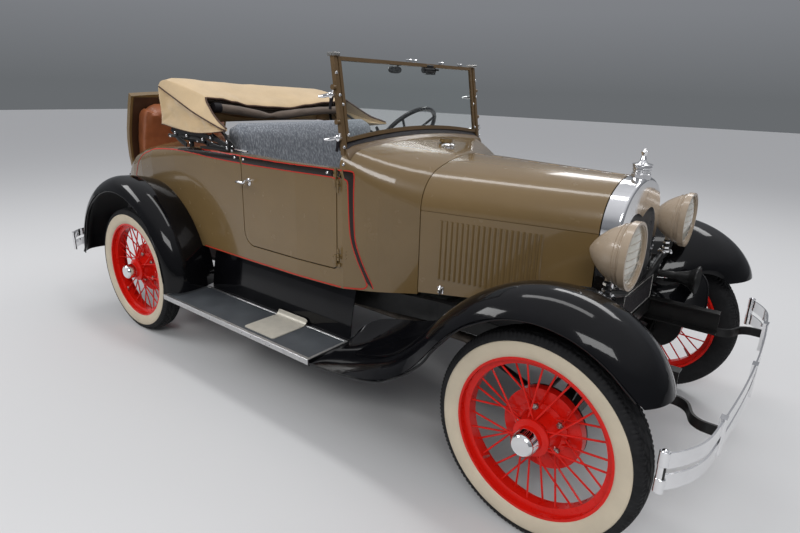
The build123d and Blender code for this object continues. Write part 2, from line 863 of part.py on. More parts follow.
def make_rear_axle():
    """Banjo housing, axle tubes, torque tube and radius rods."""
    centre = (rear_axle_x, 0, wheel_z)
    reach = hub_half - 84
    # out from the middle, radius
    half = ((60, 140), (110, 118), (230, 48), (reach - 14, 38), (reach - 14, 60), (reach, 60), (reach, 0))
    housing = turned([(-y, radius) for y, radius in reversed(half)] + list(half), centre)
    # along the torque tube, radius
    tube = ((0, 0), (0, 62), (160, 44), (rear_tube, 38), (rear_tube, 0))
    axle = housing + turned(tube, (rx(100), 0, wheel_z), (1, 0, 0.035))
    for side in (-1, 1):
        hub = (rear_axle_x, side * hub_half, wheel_z)
        axle += rod(centre, (rear_axle_x, side * (hub_half + 38), wheel_z), spindle_radius)
        axle += turned(back_plate, hub, (0, side, 0))
        axle += rod((rx(0), side * 500, wheel_z - 20), (rx(1150), side * 40, wheel_z + 16), 13)
        y = side * spring_half
        axle += block((rx(-rear_spring_behind - 20), y - 14, wheel_z), (rx(0), y + 14, rear_eye_z))
    return axle


def make_engine():
    """The engine as a plain block, with its flywheel housing, arms and gearbox."""
    engine = block((fx(-640), -140, 440), (fx(-130), 140, 960))
    bell = rod((fx(-640), 0, 470), (fx(-760), 0, 470), 115)
    box = rod((fx(-760), 0, 450), (fx(-990), 0, 430), 75)
    reach = rail_front_half + 12 + rail_width / 2 - rail_wall - seat_gap
    arms = block((fx(-680), -reach, 520), (fx(-645), reach, 560))
    return engine + bell + box + arms


def make_exhaust():
    """Pipe, silencer and tail pipe under the right side."""
    y, z = exhaust_y, exhaust_z
    pipe = bent_bar((
        (fx(-300), -140 - seat_gap, z + 70), (fx(-300), -260, z + 70), (fx(-460), y, z), (fx(-1450), y, z),
    ), 22, 40)
    drum = rod((fx(-1450), y, z), (fx(-1950), y, z), 62)
    tail = bent_bar((
        (fx(-1950), y, z), (rx(380), y, z), (rx(200), y, z - 125), (rx(-200), y, z - 125),
        (rx(-380), y, z - 30), (rx(-640), y, z - 30),
    ), 20, 80)
    hanger = block((fx(-1135), y - 6, z + 10), (fx(-1115), y + 6, member_bottom - seat_gap))
    return pipe + drum + tail + hanger


# Lamps, bumpers and horn

def make_lamp_bar(wing):
    """The bar between the front wings that carries the lamps, the horn and the plate bracket."""
    x = fx(bar_ahead)
    half = [
        (x - 20, 590, 874), (x - 5, 510, 850), (x, lamp_half + 43, bar_z), (x, lamp_half - 57, bar_z),
        (x, 200, bar_z - 35), (x, 110, bar_z - 62),
    ]
    route = [(x, -y, z) for x, y, z in half] + half[::-1]
    bar = bent_bar(route, bar_radius, 45)
    # along the horn, radius
    horn = (
        (-80, 0), (-80, 46), (-10, 46), (0, 14), (70, 18), (130, 38), (158, 62), (164, 62),
        (140, 36), (120, 24), (100, 0),
    )
    bell = turned(horn, (x, horn_y, bar_z - horn_drop), (1, 0, 0))
    hook = rod((x - 40, horn_y, bar_z - horn_drop), (x, horn_y, bar_z - 4), 8)
    hole_y = plate_hole_spacing / 2
    bracket = block((x, -hole_y - 20, plate_hole_z - 14), (x + 4, hole_y + 20, bar_z - 66))
    for y in (-hole_y, hole_y):
        bracket -= rod((x - 10, y, plate_hole_z), (x + 20, y, plate_hole_z), plate_hole_radius)
    bar = bar + bell + hook + bracket - wing - across(wing)
    return bar.solids().sort_by(SortBy.VOLUME)[-1]


def make_lamp():
    """The right headlamp's acorn bucket, rim and post."""
    centre = (fx(-15), -lamp_half, lamp_z)
    rim = lamp_radius + 4
    seat = lamp_radius - 6
    outline = (
        Line((0, 0), (0, 12)) + ThreePointArc((0, 12), (52, 74), (132, lamp_radius - 3))
        + Polyline((132, lamp_radius - 3), (132, rim), (154, rim), (154, seat), (lens_seat, seat),
                   (lens_seat, seat - 10), (124, seat - 10))
        + ThreePointArc((124, seat - 10), (56, 60), (20, 0)) + Line((20, 0), (0, 0))
    )
    bucket = revolve(make_face(outline), Axis.X)
    post = rod((75, 0, bar_z - lamp_z), (75, 0, -80), bar_radius - 1)
    straight = rod((75, -30, bar_z - lamp_z), (75, 30, bar_z - lamp_z), bar_radius)
    return Pos(*centre) * (bucket + post - straight)


def make_lens():
    """The right headlamp's shallow domed glass."""
    centre = (fx(-15), -lamp_half, lamp_z)
    radius = lamp_radius - 6 - seat_gap
    back = lens_seat + seat_gap
    dome = [(back + 5 + 13 * cos(radians(step)), radius * sin(radians(step))) for step in range(0, 91, 15)]
    return turned([(back, 0)] + dome + [(back, radius)], centre, (1, 0, 0))


def bow(face_x, radius, half, end_radius, end_turn, skin):
    """Start, middle, join, and the tighter end's middle and tip of one side of a bowed bar."""
    join = asin(half / radius)
    end_turn = radians(end_turn)
    centre_x = face_x - radius
    end_x = centre_x + (radius - end_radius) * cos(join)
    end_y = (radius - end_radius) * sin(join)
    far = radius - skin
    near = end_radius - skin

    def tip(angle):
        return end_x + near * cos(angle), end_y + near * sin(angle)

    return (
        (centre_x + far, 0), (centre_x + far * cos(join), far * sin(join)),
        tip((join + end_turn) / 2), tip(end_turn),
    )


def flipped(spot):
    """The same place on the other side."""
    return spot[0], -spot[1]


def make_front_bars():
    """Two bowed chrome bars, their end posts and their clamps."""
    face = fx(front_overhang - bumper_proud)
    size = (face, bumper_radius, bumper_main_half, bumper_end_radius, bumper_end_turn)
    out = bow(*size, 0)
    back = bow(*size, bumper_bar_thickness)
    outline = (
        ThreePointArc(flipped(out[1]), out[0], out[1]) + ThreePointArc(out[1], out[2], out[3])
        + Line(out[3], back[3]) + ThreePointArc(back[3], back[2], back[1])
        + ThreePointArc(back[1], back[0], flipped(back[1]))
        + ThreePointArc(flipped(back[1]), flipped(back[2]), flipped(back[3]))
        + Line(flipped(back[3]), flipped(out[3]))
        + ThreePointArc(flipped(out[3]), flipped(out[2]), flipped(out[1]))
    )
    bars = [plan_prism(outline, low, low + bumper_bar_height) for low in bumper_lows]
    low, high = bumper_lows[0] - 5, bumper_lows[1] + bumper_bar_height + 5
    x, y = back[3]
    clamp_x = fx(front_overhang) - bumper_clamp_half**2 / (2 * bumper_radius)
    pieces = [block((fx(front_overhang) - 20, -20, low), (fx(front_overhang), 20, high))]
    for side in (-1, 1):
        pieces.append(rod((x, side * y, low), (x, side * y, high), 12))
        middle = side * bumper_clamp_half
        pieces.append(block((clamp_x - 22, middle - 17, low), (clamp_x - 1.5, middle + 17, high)))
    return bars, pieces


def make_arm(points, low, high):
    """A flat sprung arm that follows points in plan."""
    path = FilletPolyline(*[(x, y, (low + high) / 2) for x, y in points], radius=60)
    section = Plane(path @ 0, x_dir=(0, 0, 1), z_dir=path % 0) * Rectangle(high - low, arm_thickness)
    return sweep(section, path=path)


def make_bumper_arms():
    """Black sprung arms: two to the front bumper and one to each rear bumper."""
    front_x = fx(front_overhang) - bumper_clamp_half**2 / (2 * bumper_radius) - 22 - seat_gap
    rear_x = rx(-rear_bumper_behind) + 18 + seat_gap
    out = (rail_width + arm_thickness) / 2 - 0.5
    pieces = []
    for side in (-1, 1):
        pieces.append(make_arm((
            (fx(230), side * (rail_front_half + out)), (fx(370), side * (rail_front_half + out)),
            (front_x - 70, side * bumper_clamp_half), (front_x, side * bumper_clamp_half),
        ), 472, 508))
        pieces.append(make_arm((
            (rx(-400), side * (rail_rear_half + out)), (rx(-560), side * (rail_rear_half + out)),
            (rear_x + 70, side * 590), (rear_x, side * 590),
        ), 502, 532))
    return pieces


def make_rear_bumper():
    """The right rear bumper: two short chrome bars with a clamp and end posts."""
    # x behind the axle, y
    x = rx(-rear_bumper_behind)
    outline = (
        Line((x, -430), (x, -640)) + ThreePointArc((x, -640), (x + 32, -730), (x + 105, -790))
        + Line((x + 105, -790), (x + 109, -785))
        + ThreePointArc((x + 109, -785), (x + 37, -727), (x + 6, -640))
        + Line((x + 6, -640), (x + 6, -430)) + Line((x + 6, -430), (x, -430))
    )
    lows = (rear_bumper_low, rear_bumper_low + 65)
    bars = [plan_prism(outline, low, low + 46) for low in lows]
    low, high = lows[0] - 5, lows[1] + 51
    posts = [rod((x + dx, y, low), (x + dx, y, high), 10) for dx, y in ((6, -430), (107, -788))]
    clamp = block((x - 4, -610, low), (x + 18, -570, high + 20))
    return bars + posts + [clamp]


# Windscreen

def screen_plane():
    """The leaning plane of the windscreen: x is across the car, y is up along the glass."""
    lean = radians(screen_lean)
    return Plane(origin=(cowl_rear_x + screen_ahead, 0, screen_foot), x_dir=(0, 1, 0),
                 z_dir=(cos(lean), 0, sin(lean)))


def screen_outline(grow):
    """The frame's inner opening, grown outward: flat top, arched foot, small corners."""
    half = screen_half - 32 + grow
    top = screen_height - 16 + grow
    side_low = 108 - grow
    crown = 142 - grow
    return (
        Line((-half, side_low), (-half, top)) + Line((-half, top), (half, top))
        + Line((half, top), (half, side_low)) + ThreePointArc((half, side_low), (0, crown), (-half, side_low))
    )


def make_screen_frame():
    """Frame round the glass, its side posts with feet, and the strip under it."""
    plane = screen_plane()
    frame = extrude(make_face(screen_outline(16)), 8, both=True)
    frame -= extrude(make_face(screen_outline(0)), 9, both=True)
    frame -= extrude(make_face(screen_outline(6)), 3 + seat_gap, both=True)
    pieces = []
    for side in (-1, 1):
        middle = side * (screen_half + 3)
        post = Pos(middle, screen_height / 2 + 10, 0) * Box(20, screen_height + 10, 22)
        knob = Pos(side * (screen_half + 20), screen_height * 0.72, 0) * Rot(0, 90, 0) * Cylinder(11, 22)
        lower = Pos(side * (screen_half + 20), screen_height * 0.4, 0) * Rot(0, 90, 0) * Cylinder(11, 22)
        tie = Pos(side * (screen_half - 12), screen_height - 40, 0) * Box(14, 24, 10)
        pieces += [post, knob, lower, tie]
    return plane * (frame + pieces)


def make_screen_glass():
    """The windscreen's one pane, in the frame's groove."""
    return screen_plane() * extrude(make_face(screen_outline(6 - seat_gap)), 3, both=True)


# Inside

def rounded(low, high, radius, axis=Axis.Y):
    """A soft block with round edges along one direction."""
    shape = block(low, high)
    return fillet(shape.edges().filter_by(axis), radius)


def make_seat():
    """The front bench: cushion and leaning back."""
    floor = sill_z + floor_thickness + seat_gap
    half = seat_half
    base = block((seat_x - 400, 20 - half, floor), (seat_x - 20, half - 20, floor + 90))
    cushion = rounded((seat_x - 430, -half, floor + 90 + seat_gap), (seat_x, half, floor + 250), 40)
    foot = floor + 250 + seat_gap
    outline = Polyline(
        (seat_x - 345, foot), (seat_x - 445, foot),
        (seat_x - 520, seat_top), (seat_x - 405, seat_top), close=True,
    )
    back = side_prism(outline, -seat_half, seat_half)
    back = fillet(back.edges().filter_by(Axis.Y).sort_by(Axis.Z)[-2:], 50)
    return base, cushion, back


def make_rumble_seat():
    """The rumble cushion on its box."""
    floor = sill_z + floor_thickness + seat_gap
    half = lid_half
    base = block((rx(-500), 20 - half, floor), (rx(-150), half - 20, rumble_z - seat_gap))
    return base, rounded((rx(-520), -half, rumble_z), (rx(-130), half, rumble_z + rumble_cushion), 40)


# x behind the axle in front, z: the bundle's section, then one hanging corner
fold_section = (
    (-2092, 1402), (-2180, 1448), (-2458, 1468), (-2530, 1450), (-2545, 1400),
    (-2520, fold_bottom), (-2112, fold_bottom), (-2112, 1388),
)
corner_section = (
    (-2092, 1402), (-1954, 1322), (-1810, 1256), (-1912, 1243), (-2020, 1226), (-2309, 1223), (-2490, 1243),
    (-2500, 1330), (-2458, 1458),
)


def make_top():
    """The folded soft top: a bundle across the car with a hanging corner at each end."""
    outline = Polyline(*[(fx(x), z) for x, z in fold_section], close=True)
    bundle = side_prism(outline, -top_half, top_half)
    outline = Polyline(*[(fx(x), z) for x, z in corner_section], close=True)
    corner = side_prism(outline, top_half - 30, top_half + 20)
    return bundle + corner + across(corner)


def make_roll():
    """The grey lining rolled in front of the fold."""
    z = fold_bottom + 22
    return rod((fx(-2090), 105 - top_half, z), (fx(-2090), top_half - 105, z), 22 - seat_gap)


def make_top_irons(body):
    """The folding hoops' side irons, from pivots on the belt up to the fold."""
    pieces = []
    for side in (-1, 1):
        y = side * irons_half
        foot = (rx(405), y, belt_z + 30)
        tip = (rx(830), y + side * 14, belt_z + 22)
        head = side * (irons_half - 41)
        pieces.append(rod((rx(405), y, belt_z - 16), foot, 12))
        pieces.append(rod((rx(180), y, belt_z + 46), tip, 9))
        pieces.append(rod(foot, (rx(405), head, fold_bottom), 9))
        pieces.append(rod(tip, (rx(480), head, fold_bottom), 8))
    over = block((rx(100), -700, fold_bottom - seat_gap), (rx(1000), 700, fold_bottom + 100))
    return [piece - over - body for piece in pieces]


def column_plane():
    """The steering column's plane at the wheel: z runs up along the column."""
    tilt = radians(column_tilt)
    centre = (fx(steering_x), steering_y, steering_z)
    return Plane(origin=centre, x_dir=(0, 1, 0), z_dir=(-cos(tilt), 0, sin(tilt)))


def make_steering_wheel():
    """Rim, four spokes and hub."""
    rim_middle = steering_radius - 12
    hub = Pos(0, 0, -14) * Cylinder(34, 46)
    spoke = rod((20, 0, -16), (rim_middle, 0, 0), 7)
    spokes = [Rot(0, 0, 45 + 90 * number) * spoke for number in range(4)]
    return column_plane() * (Torus(rim_middle, 12) + hub + spokes)


def make_column():
    """Fixed column tube down to the bulkhead."""
    tilt = radians(column_tilt)
    length = (cowl_front_x - body_wall - fx(steering_x)) / cos(tilt) - 20
    start = 37 + seat_gap
    return column_plane() * Pos(0, 0, -(start + length) / 2) * Cylinder(column_radius, length - start)


def make_levers():
    """Gear lever, hand brake and three pedals on the floor."""
    floor = sill_z + floor_thickness + seat_gap
    gear = rod((fx(-1185), 0, floor - 6), (fx(-1330), 10, 950), 8)
    # height over the stick's end, radius
    knob = ((-12, 0), (-12, 10), (-6, 18), (4, 22), (14, 18), (20, 9), (22, 0))
    gear += turned(knob, (fx(-1330), 10, 952), (fx(-1330) - fx(-1185), 10, 950 - floor))
    brake = rod((fx(-1128), -70, floor - 6), (fx(-1260), -70, 900), 9)
    pieces = [gear, brake]
    for y in (steering_y - 130, steering_y - 30, steering_y + 90):
        pad = Pos(fx(-985), y, 770) * Rot(0, 55, 0) * Box(70, 56, 12)
        pieces.append(rod((fx(-897), y, floor - 6), (fx(-982), y, 768), 8) + pad)
    under = block((fx(-1500), -300, 0), (fx(-800), 700, floor))
    return [piece - under for piece in pieces]


def make_lid_pieces(walls):
    """The rumble lid swung open, with the leather back on its inside."""
    lid = opened(whole((walls & lid_region()) + make_lid_hinges()[1]))
    low = (tail_x + 70, -lid_half + 45, rumble_z + rumble_cushion + running_gap)
    high = (tail_x + lid_length - 40, lid_half - 45, hood_rear_top)
    under = body_room(body_wall + seat_gap)
    pad = (under & block(low, high)) - Pos(0, 0, -rumble_pad) * under
    return lid, opened(whole(pad))


os.makedirs("parts", exist_ok=True)

body_outer, room, walls = make_body()
fixed_hinges, moving_hinges = make_door_hinges()
doors = whole((walls & door_region()) + moving_hinges)
shell = walls - door_region(running_gap) - across(door_region(running_gap)) - lid_region(running_gap)
for fixed in fixed_hinges:
    shell += fixed + across(fixed)
shell += make_lid_hinges()[0]
save("body", shell)
cowl_outer, cowl_room, cowl = make_cowl()
save("cowl", cowl)
save_pair("door", doors)
lid, rumble_back = make_lid_pieces(walls)
save("rumble_lid", lid)
save("rumble_back", rumble_back)

save("hood_top_right", make_hood_top(-1))
save("hood_top_left", make_hood_top(1))
save_pair("hood_side", make_hood_side())
save("hood_rod", make_hood_rod())
save("radiator_shell", make_radiator_shell())
save("radiator", make_radiator())

front_wing = make_front_wing()
rear_wing = make_rear_wing(body_outer)
board = make_board() + make_apron()
save("front_wings", front_wing, across(front_wing))
save("rear_wings", rear_wing, across(rear_wing))
save("running_boards", board, across(board))

wheel = make_wheel()
road_wheel = wheel + make_drum()
for side, name in ((-1, "right"), (1, "left")):
    front = (front_axle_x, side * hub_half, wheel_z)
    rear = (rear_axle_x, side * hub_half, wheel_z)
    save(f"front_wheel_{name}", steered(placed_wheel(road_wheel, front, (0, side, 0)), side))
    save(f"front_tyre_{name}", steered(make_tyre(front), side))
    save(f"rear_wheel_{name}", placed_wheel(road_wheel, rear, (0, side, 0)))
    save(f"rear_tyre_{name}", make_tyre(rear))
    save(f"knuckle_{name}", steered(make_knuckle(side), side))
spare = (spare_x, 0, spare_z)
save("spare_wheel", placed_wheel(wheel, spare, (-1, 0, 0)))
save("spare_tyre", make_tyre(spare, (-1, 0, 0)))
save("tie_rod", make_tie_rod())

save("frame", make_frame())
save("front_member", make_front_member())
brackets = make_board_brackets()
save("board_brackets", *brackets, *[across(bracket) for bracket in brackets])
save("springs", leaf_spring(front_axle_x, 470, front_eye_z, member_bottom, 44),
     leaf_spring(rx(-rear_spring_behind), spring_half, rear_eye_z, member_bottom, 50))
save("front_axle", make_front_axle())
save("rear_axle", make_rear_axle())
save("engine", make_engine())
save("exhaust", make_exhaust())

lamp_bar = make_lamp_bar(front_wing)
save("lamp_bar", lamp_bar)
lamp = make_lamp()
lens = make_lens()
save("headlamps", lamp, across(lamp))
save("headlamp_lenses", lens, across(lens))
bars, clamps = make_front_bars()
save("front_bumper", sum(clamps, bars[0] + bars[1]))
rear_bumper = make_rear_bumper()
rear_bumper = sum(rear_bumper[1:], rear_bumper[0])
save("rear_bumpers", rear_bumper, across(rear_bumper))

save("windscreen_frame", make_screen_frame() - body_outer - cowl_outer)
save("windscreen_glass", make_screen_glass())
base, cushion, back = make_seat()
save("seat", base, cushion, back)
save("rumble_cushion", *make_rumble_seat())
rear_floor = block((rx(-540), -700, sill_z), (cowl_rear_x, 700, sill_z + floor_thickness)) & room
front_floor = block((cowl_rear_x, -700, sill_z), (cowl_front_x, 700, sill_z + floor_thickness)) & cowl_room
save("floor", rear_floor + front_floor)
save("folded_top", make_top(), make_roll())
save("top_irons", *make_top_irons(body_outer))
save("steering_wheel", make_steering_wheel())
save("controls", make_column(), *make_levers())
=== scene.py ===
import bmesh
import bpy
import json
from math import cos, exp, pi, radians, sin
from mathutils import Matrix, Vector
from mathutils.bvhtree import BVHTree
from mathutils.noise import noise


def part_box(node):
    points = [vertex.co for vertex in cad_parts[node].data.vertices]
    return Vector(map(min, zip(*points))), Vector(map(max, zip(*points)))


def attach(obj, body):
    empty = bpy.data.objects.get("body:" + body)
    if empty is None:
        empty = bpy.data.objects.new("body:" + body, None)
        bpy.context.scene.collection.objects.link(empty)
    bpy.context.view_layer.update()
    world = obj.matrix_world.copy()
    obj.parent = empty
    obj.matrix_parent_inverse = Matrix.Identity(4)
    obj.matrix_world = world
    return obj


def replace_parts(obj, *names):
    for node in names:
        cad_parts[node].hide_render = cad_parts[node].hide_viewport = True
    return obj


# A vintage open roadster. Metres, +X forward, +Y left, +Z up.
# Places given to spot, spots, path, on_side and below are in millimetres, with x forward from the front axle.

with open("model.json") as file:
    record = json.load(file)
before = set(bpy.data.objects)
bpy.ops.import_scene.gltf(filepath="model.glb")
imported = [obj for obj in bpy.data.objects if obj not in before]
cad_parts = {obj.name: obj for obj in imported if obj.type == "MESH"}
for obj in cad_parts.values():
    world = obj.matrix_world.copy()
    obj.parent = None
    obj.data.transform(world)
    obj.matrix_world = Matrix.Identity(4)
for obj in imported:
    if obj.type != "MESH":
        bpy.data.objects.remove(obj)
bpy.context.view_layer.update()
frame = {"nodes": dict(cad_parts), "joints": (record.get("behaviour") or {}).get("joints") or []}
nodes = frame["nodes"]
joints = {joint["name"]: joint for joint in frame["joints"]}

FRONT = joints["steer_right"]["pos_m"][0]
TYRE_RADIUS = joints["spin_rear_right"]["pos_m"][2]
UP, DOWN = Vector((0, 0, 1)), Vector((0, 0, -1))
OUT = Vector((0, -1, 0))  # outward on the right side
STUD = (0.0065, 0.005)  # radius and height of a press stud


# Materials

# keyword of shader: input of the Principled shader, and its value where none is given
INPUTS = {
    "metal": ("Metallic", 0.0), "coat": ("Coat Weight", 0.0), "coat_rough": ("Coat Roughness", 0.04),
    "sheen": ("Sheen Weight", 0.0), "transmission": ("Transmission Weight", 0.0), "ior": ("IOR", 1.5),
    "specular": ("Specular IOR Level", 0.5),
}


def shader(name, color, rough, **more):
    """A Principled material; returns it with its node tree and shader node."""
    material = bpy.data.materials.new(name)
    material.use_nodes = True
    tree = material.node_tree
    node = tree.nodes["Principled BSDF"]
    node.inputs["Base Color"].default_value = (*color, 1)
    node.inputs["Roughness"].default_value = rough
    for key, (label, usual) in INPUTS.items():
        node.inputs[label].default_value = more.get(key, usual)
    return material, tree, node


def wired(tree, kind, **inputs):
    """A new node; each input takes a value, or a link where it is given another node's output."""
    node = tree.nodes.new(f"ShaderNode{kind}")
    for name, value in inputs.items():
        socket = node.inputs[name.replace("_", " ")]
        if isinstance(value, bpy.types.NodeSocket):
            tree.links.new(value, socket)
        else:
            socket.default_value = value
    return node


def coordinates(tree, scale=(1, 1, 1)):
    """Object coordinates, stretched."""
    source = wired(tree, "TexCoord").outputs["Object"]
    return wired(tree, "Mapping", Scale=scale, Vector=source).outputs["Vector"]


def clouds(tree, scale, detail=4, stretch=(1, 1, 1), roughness=0.55):
    """A noise value."""
    place = coordinates(tree, stretch)
    return wired(tree, "TexNoise", Scale=scale, Detail=detail, Roughness=roughness,
                 Vector=place).outputs["Fac"]


def ramp(tree, value, stops):
    """A colour from a value; stops are (place, colour)."""
    node = wired(tree, "ValToRGB", Fac=value)
    elements = node.color_ramp.elements
    while len(elements) < len(stops):
        elements.new(0.5)
    for element, (place, color) in zip(elements, stops):
        element.position = place
        element.color = (*color, 1)
    return node.outputs["Color"]


def tint(tree, node, value, *stops):
    """Colours a shader by a value."""
    tree.links.new(ramp(tree, value, stops), node.inputs["Base Color"])


def bump(tree, node, value, strength, distance):
    """Adds relief to a shader."""
    relief = wired(tree, "Bump", Strength=strength, Distance=distance, Height=value)
    tree.links.new(relief.outputs["Normal"], node.inputs["Normal"])


def shade(color, factor):
    """A colour made lighter or darker."""
    return tuple(min(1, channel * factor) for channel in color)


def plain(name, color, rough, vary, scale, rough_vary, relief=0.0, relief_scale=900, relief_distance=0.0005,
          stretch=(1, 1, 1), **more):
    """A material whose tone and gloss drift a little over the surface, with fine relief."""
    material, tree, node = shader(name, color, rough, **more)
    tint(tree, node, clouds(tree, scale, stretch=stretch), (0.3, shade(color, 1 - vary)),
         (0.7, shade(color, 1 + vary)))
    wear = wired(tree, "MapRange", From_Min=0.3, From_Max=0.7, To_Min=max(0.01, rough - rough_vary),
                 To_Max=rough + rough_vary, Value=clouds(tree, scale * 3, 6, stretch))
    tree.links.new(wear.outputs["Result"], node.inputs["Roughness"])
    if relief:
        bump(tree, node, clouds(tree, relief_scale, 2, stretch), relief, relief_distance)
    return material


khaki = plain("khaki_paint", (0.165, 0.106, 0.042), 0.24, 0.05, 5, 0.04, 0.1, 260, 0.0003, coat=0.6,
              specular=0.3)
belt_paint = plain("belt_paint", (0.010, 0.005, 0.003), 0.24, 0.15, 8, 0.05, coat=0.5, specular=0.15)
pinstripe = plain("pinstripe_paint", (0.50, 0.020, 0.010), 0.4, 0.08, 30, 0.05, specular=0.3)
black_paint = plain("black_paint", (0.0030, 0.0030, 0.0038), 0.12, 0.3, 7, 0.05, 0.1, 220, 0.0003, coat=0.32,
                    coat_rough=0.02, specular=0.08)
frame_black = plain("frame_black", (0.008, 0.008, 0.008), 0.38, 0.3, 20, 0.1, 0.2, 500, specular=0.3)
red_paint = plain("wheel_red", (0.62, 0.009, 0.004), 0.3, 0.06, 12, 0.06, 0.1, 320, 0.0003, coat=0.25,
                  specular=0.15)
chrome = plain("bright_plate", (0.78, 0.78, 0.79), 0.09, 0.03, 25, 0.05, metal=1.0)
steel = plain("dull_steel", (0.42, 0.41, 0.39), 0.32, 0.12, 40, 0.1, metal=1.0)
lamp_paint = plain("lamp_beige", (0.34, 0.265, 0.19), 0.3, 0.06, 10, 0.05, 0.1, 300, 0.0003, coat=0.35,
                   specular=0.4)
frame_brown = plain("screen_brown", (0.115, 0.070, 0.030), 0.34, 0.08, 12, 0.06, coat=0.2, specular=0.3)
cast = plain("cast_iron", (0.035, 0.04, 0.035), 0.55, 0.25, 30, 0.1, 0.5, 300, 0.001)
pipe_steel = plain("pipe_steel", (0.10, 0.085, 0.07), 0.6, 0.3, 16, 0.12, 0.3, 300, metal=0.6)
board_wood = plain("floor_board", (0.05, 0.045, 0.04), 0.8, 0.2, 20, 0.08, 0.5, 400, 0.001)
rubber = plain("tyre_rubber", (0.010, 0.010, 0.011), 0.72, 0.25, 22, 0.1, 0.35, 700, 0.0006, specular=0.25)
white_rubber = plain("whitewall", (0.56, 0.485, 0.365), 0.6, 0.07, 9, 0.1, 0.2, 500, 0.0004)
seal_rubber = plain("seal_rubber", (0.012, 0.010, 0.012), 0.6, 0.2, 30, 0.1, 0.2, 600, specular=0.2)
bakelite = plain("wheel_rim_black", (0.008, 0.008, 0.009), 0.28, 0.2, 12, 0.08, coat=0.2, specular=0.2)
glass = shader("clear_glass", (0.93, 0.97, 0.96), 0.02, transmission=1.0, ior=1.45)[0]
leather = plain("brown_leather", (0.30, 0.095, 0.036), 0.42, 0.18, 11, 0.09, 0.45, 420, 0.0012, coat=0.15)
pan_brown = plain("pan_brown", (0.040, 0.018, 0.009), 0.4, 0.15, 18, 0.08, coat=0.2)
canvas = plain("tan_canvas", (0.54, 0.395, 0.225), 0.9, 0.07, 7, 0.04, 0.5, 1500, 0.0008, sheen=0.25)
lining = plain("grey_lining", (0.115, 0.083, 0.062), 0.85, 0.16, 12, 0.05, 0.5, 1100, 0.0008, sheen=0.2)
binding = plain("dark_binding", (0.055, 0.022, 0.010), 0.7, 0.2, 40, 0.08, 0.4, 900, 0.0006)
aluminium = plain("board_trim", (0.52, 0.52, 0.52), 0.34, 0.08, 30, 0.08, 0.2, 400, metal=0.9)
step_plate = plain("step_plate", (0.52, 0.49, 0.42), 0.42, 0.06, 25, 0.06, 0.2, 500, metal=0.3)
bow_wood = plain("bow_wood", (0.20, 0.105, 0.045), 0.55, 0.2, 30, 0.08, 0.3, 300, stretch=(1, 0.1, 1))

# slate rubber with fine lengthwise ribs
board_mat, tree, node = shader("board_mat", (0.04, 0.045, 0.05), 0.62)
tint(tree, node, clouds(tree, 9, 6), (0.3, (0.032, 0.037, 0.043)), (0.7, (0.055, 0.062, 0.070)))
wave = wired(tree, "TexWave", Scale=50, Vector=coordinates(tree))
wave.bands_direction = "Y"
bump(tree, node, wave.outputs["Fac"], 0.6, 0.0015)

# grey-blue cloth with short pale upright flecks
seat_cloth, tree, node = shader("seat_cloth", (0.16, 0.18, 0.21), 0.85, sheen=0.15)
tint(tree, node, clouds(tree, 105, 3, (1.5, 1.5, 0.45), 0.6), (0.36, (0.115, 0.128, 0.150)),
     (0.50, (0.165, 0.180, 0.205)), (0.57, (0.235, 0.250, 0.275)), (0.66, (0.330, 0.345, 0.365)))
bump(tree, node, clouds(tree, 900, 2), 0.5, 0.0008)

# the radiator's core: a dark honeycomb of small cells, whose hollows are painted darker than their thin walls
# as painted shade
core_black, tree, node = shader("radiator_core", (0.030, 0.031, 0.034), 0.55, metal=0.3)
axes = wired(tree, "SeparateXYZ", Vector=coordinates(tree)).outputs
upright = wired(tree, "CombineXYZ", X=axes["Y"], Y=axes["Z"]).outputs["Vector"]
cells = wired(tree, "TexBrick", Color1=(0.014, 0.014, 0.015, 1), Color2=(0.020, 0.020, 0.021, 1),
              Mortar=(0.10, 0.10, 0.105, 1), Scale=1, Mortar_Size=0.0011, Brick_Width=0.009, Row_Height=0.008,
              Vector=upright)
tree.links.new(cells.outputs["Color"], node.inputs["Base Color"])
bump(tree, node, cells.outputs["Fac"], 0.8, 0.003)

# pale cream pressed glass
lens_glass, tree, node = shader("lens_glass", (0.80, 0.76, 0.64), 0.12, transmission=0.35, ior=1.45, coat=0.6)
tint(tree, node, clouds(tree, 14), (0.3, (0.70, 0.66, 0.54)), (0.7, (0.88, 0.85, 0.74)))

node_materials = {
    khaki: "body cowl door_left door_right rumble_lid hood_top_left hood_top_right hood_side_left "
           "hood_side_right",
    black_paint: "front_wings rear_wings running_boards",
    frame_black: "frame front_member board_brackets springs front_axle rear_axle lamp_bar knuckle_left "
                 "knuckle_right tie_rod top_irons controls",
    red_paint: "front_wheel_left front_wheel_right rear_wheel_left rear_wheel_right spare_wheel",
    chrome: "radiator_shell front_bumper rear_bumpers hood_rod",
    lamp_paint: "headlamps",
    glass: "headlamp_lenses windscreen_glass",
    frame_brown: "windscreen_frame",
    cast: "engine",
    core_black: "radiator",
    pipe_steel: "exhaust",
    board_wood: "floor",
    bakelite: "steering_wheel",
    rubber: "front_tyre_left front_tyre_right rear_tyre_left rear_tyre_right spare_tyre",
    leather: "rumble_back rumble_cushion seat",
    canvas: "folded_top",
}
for material, names in node_materials.items():
    for name in names.split():
        nodes[name].data.materials.clear()
        nodes[name].data.materials.append(material)


# Lines and mesh helpers

def spot(x, y, z):
    """A point given in millimetres, with x measured forward from the front axle."""
    return Vector((FRONT + x / 1000, y / 1000, z / 1000))


def spots(*places):
    """Several such points."""
    return [spot(*place) for place in places]


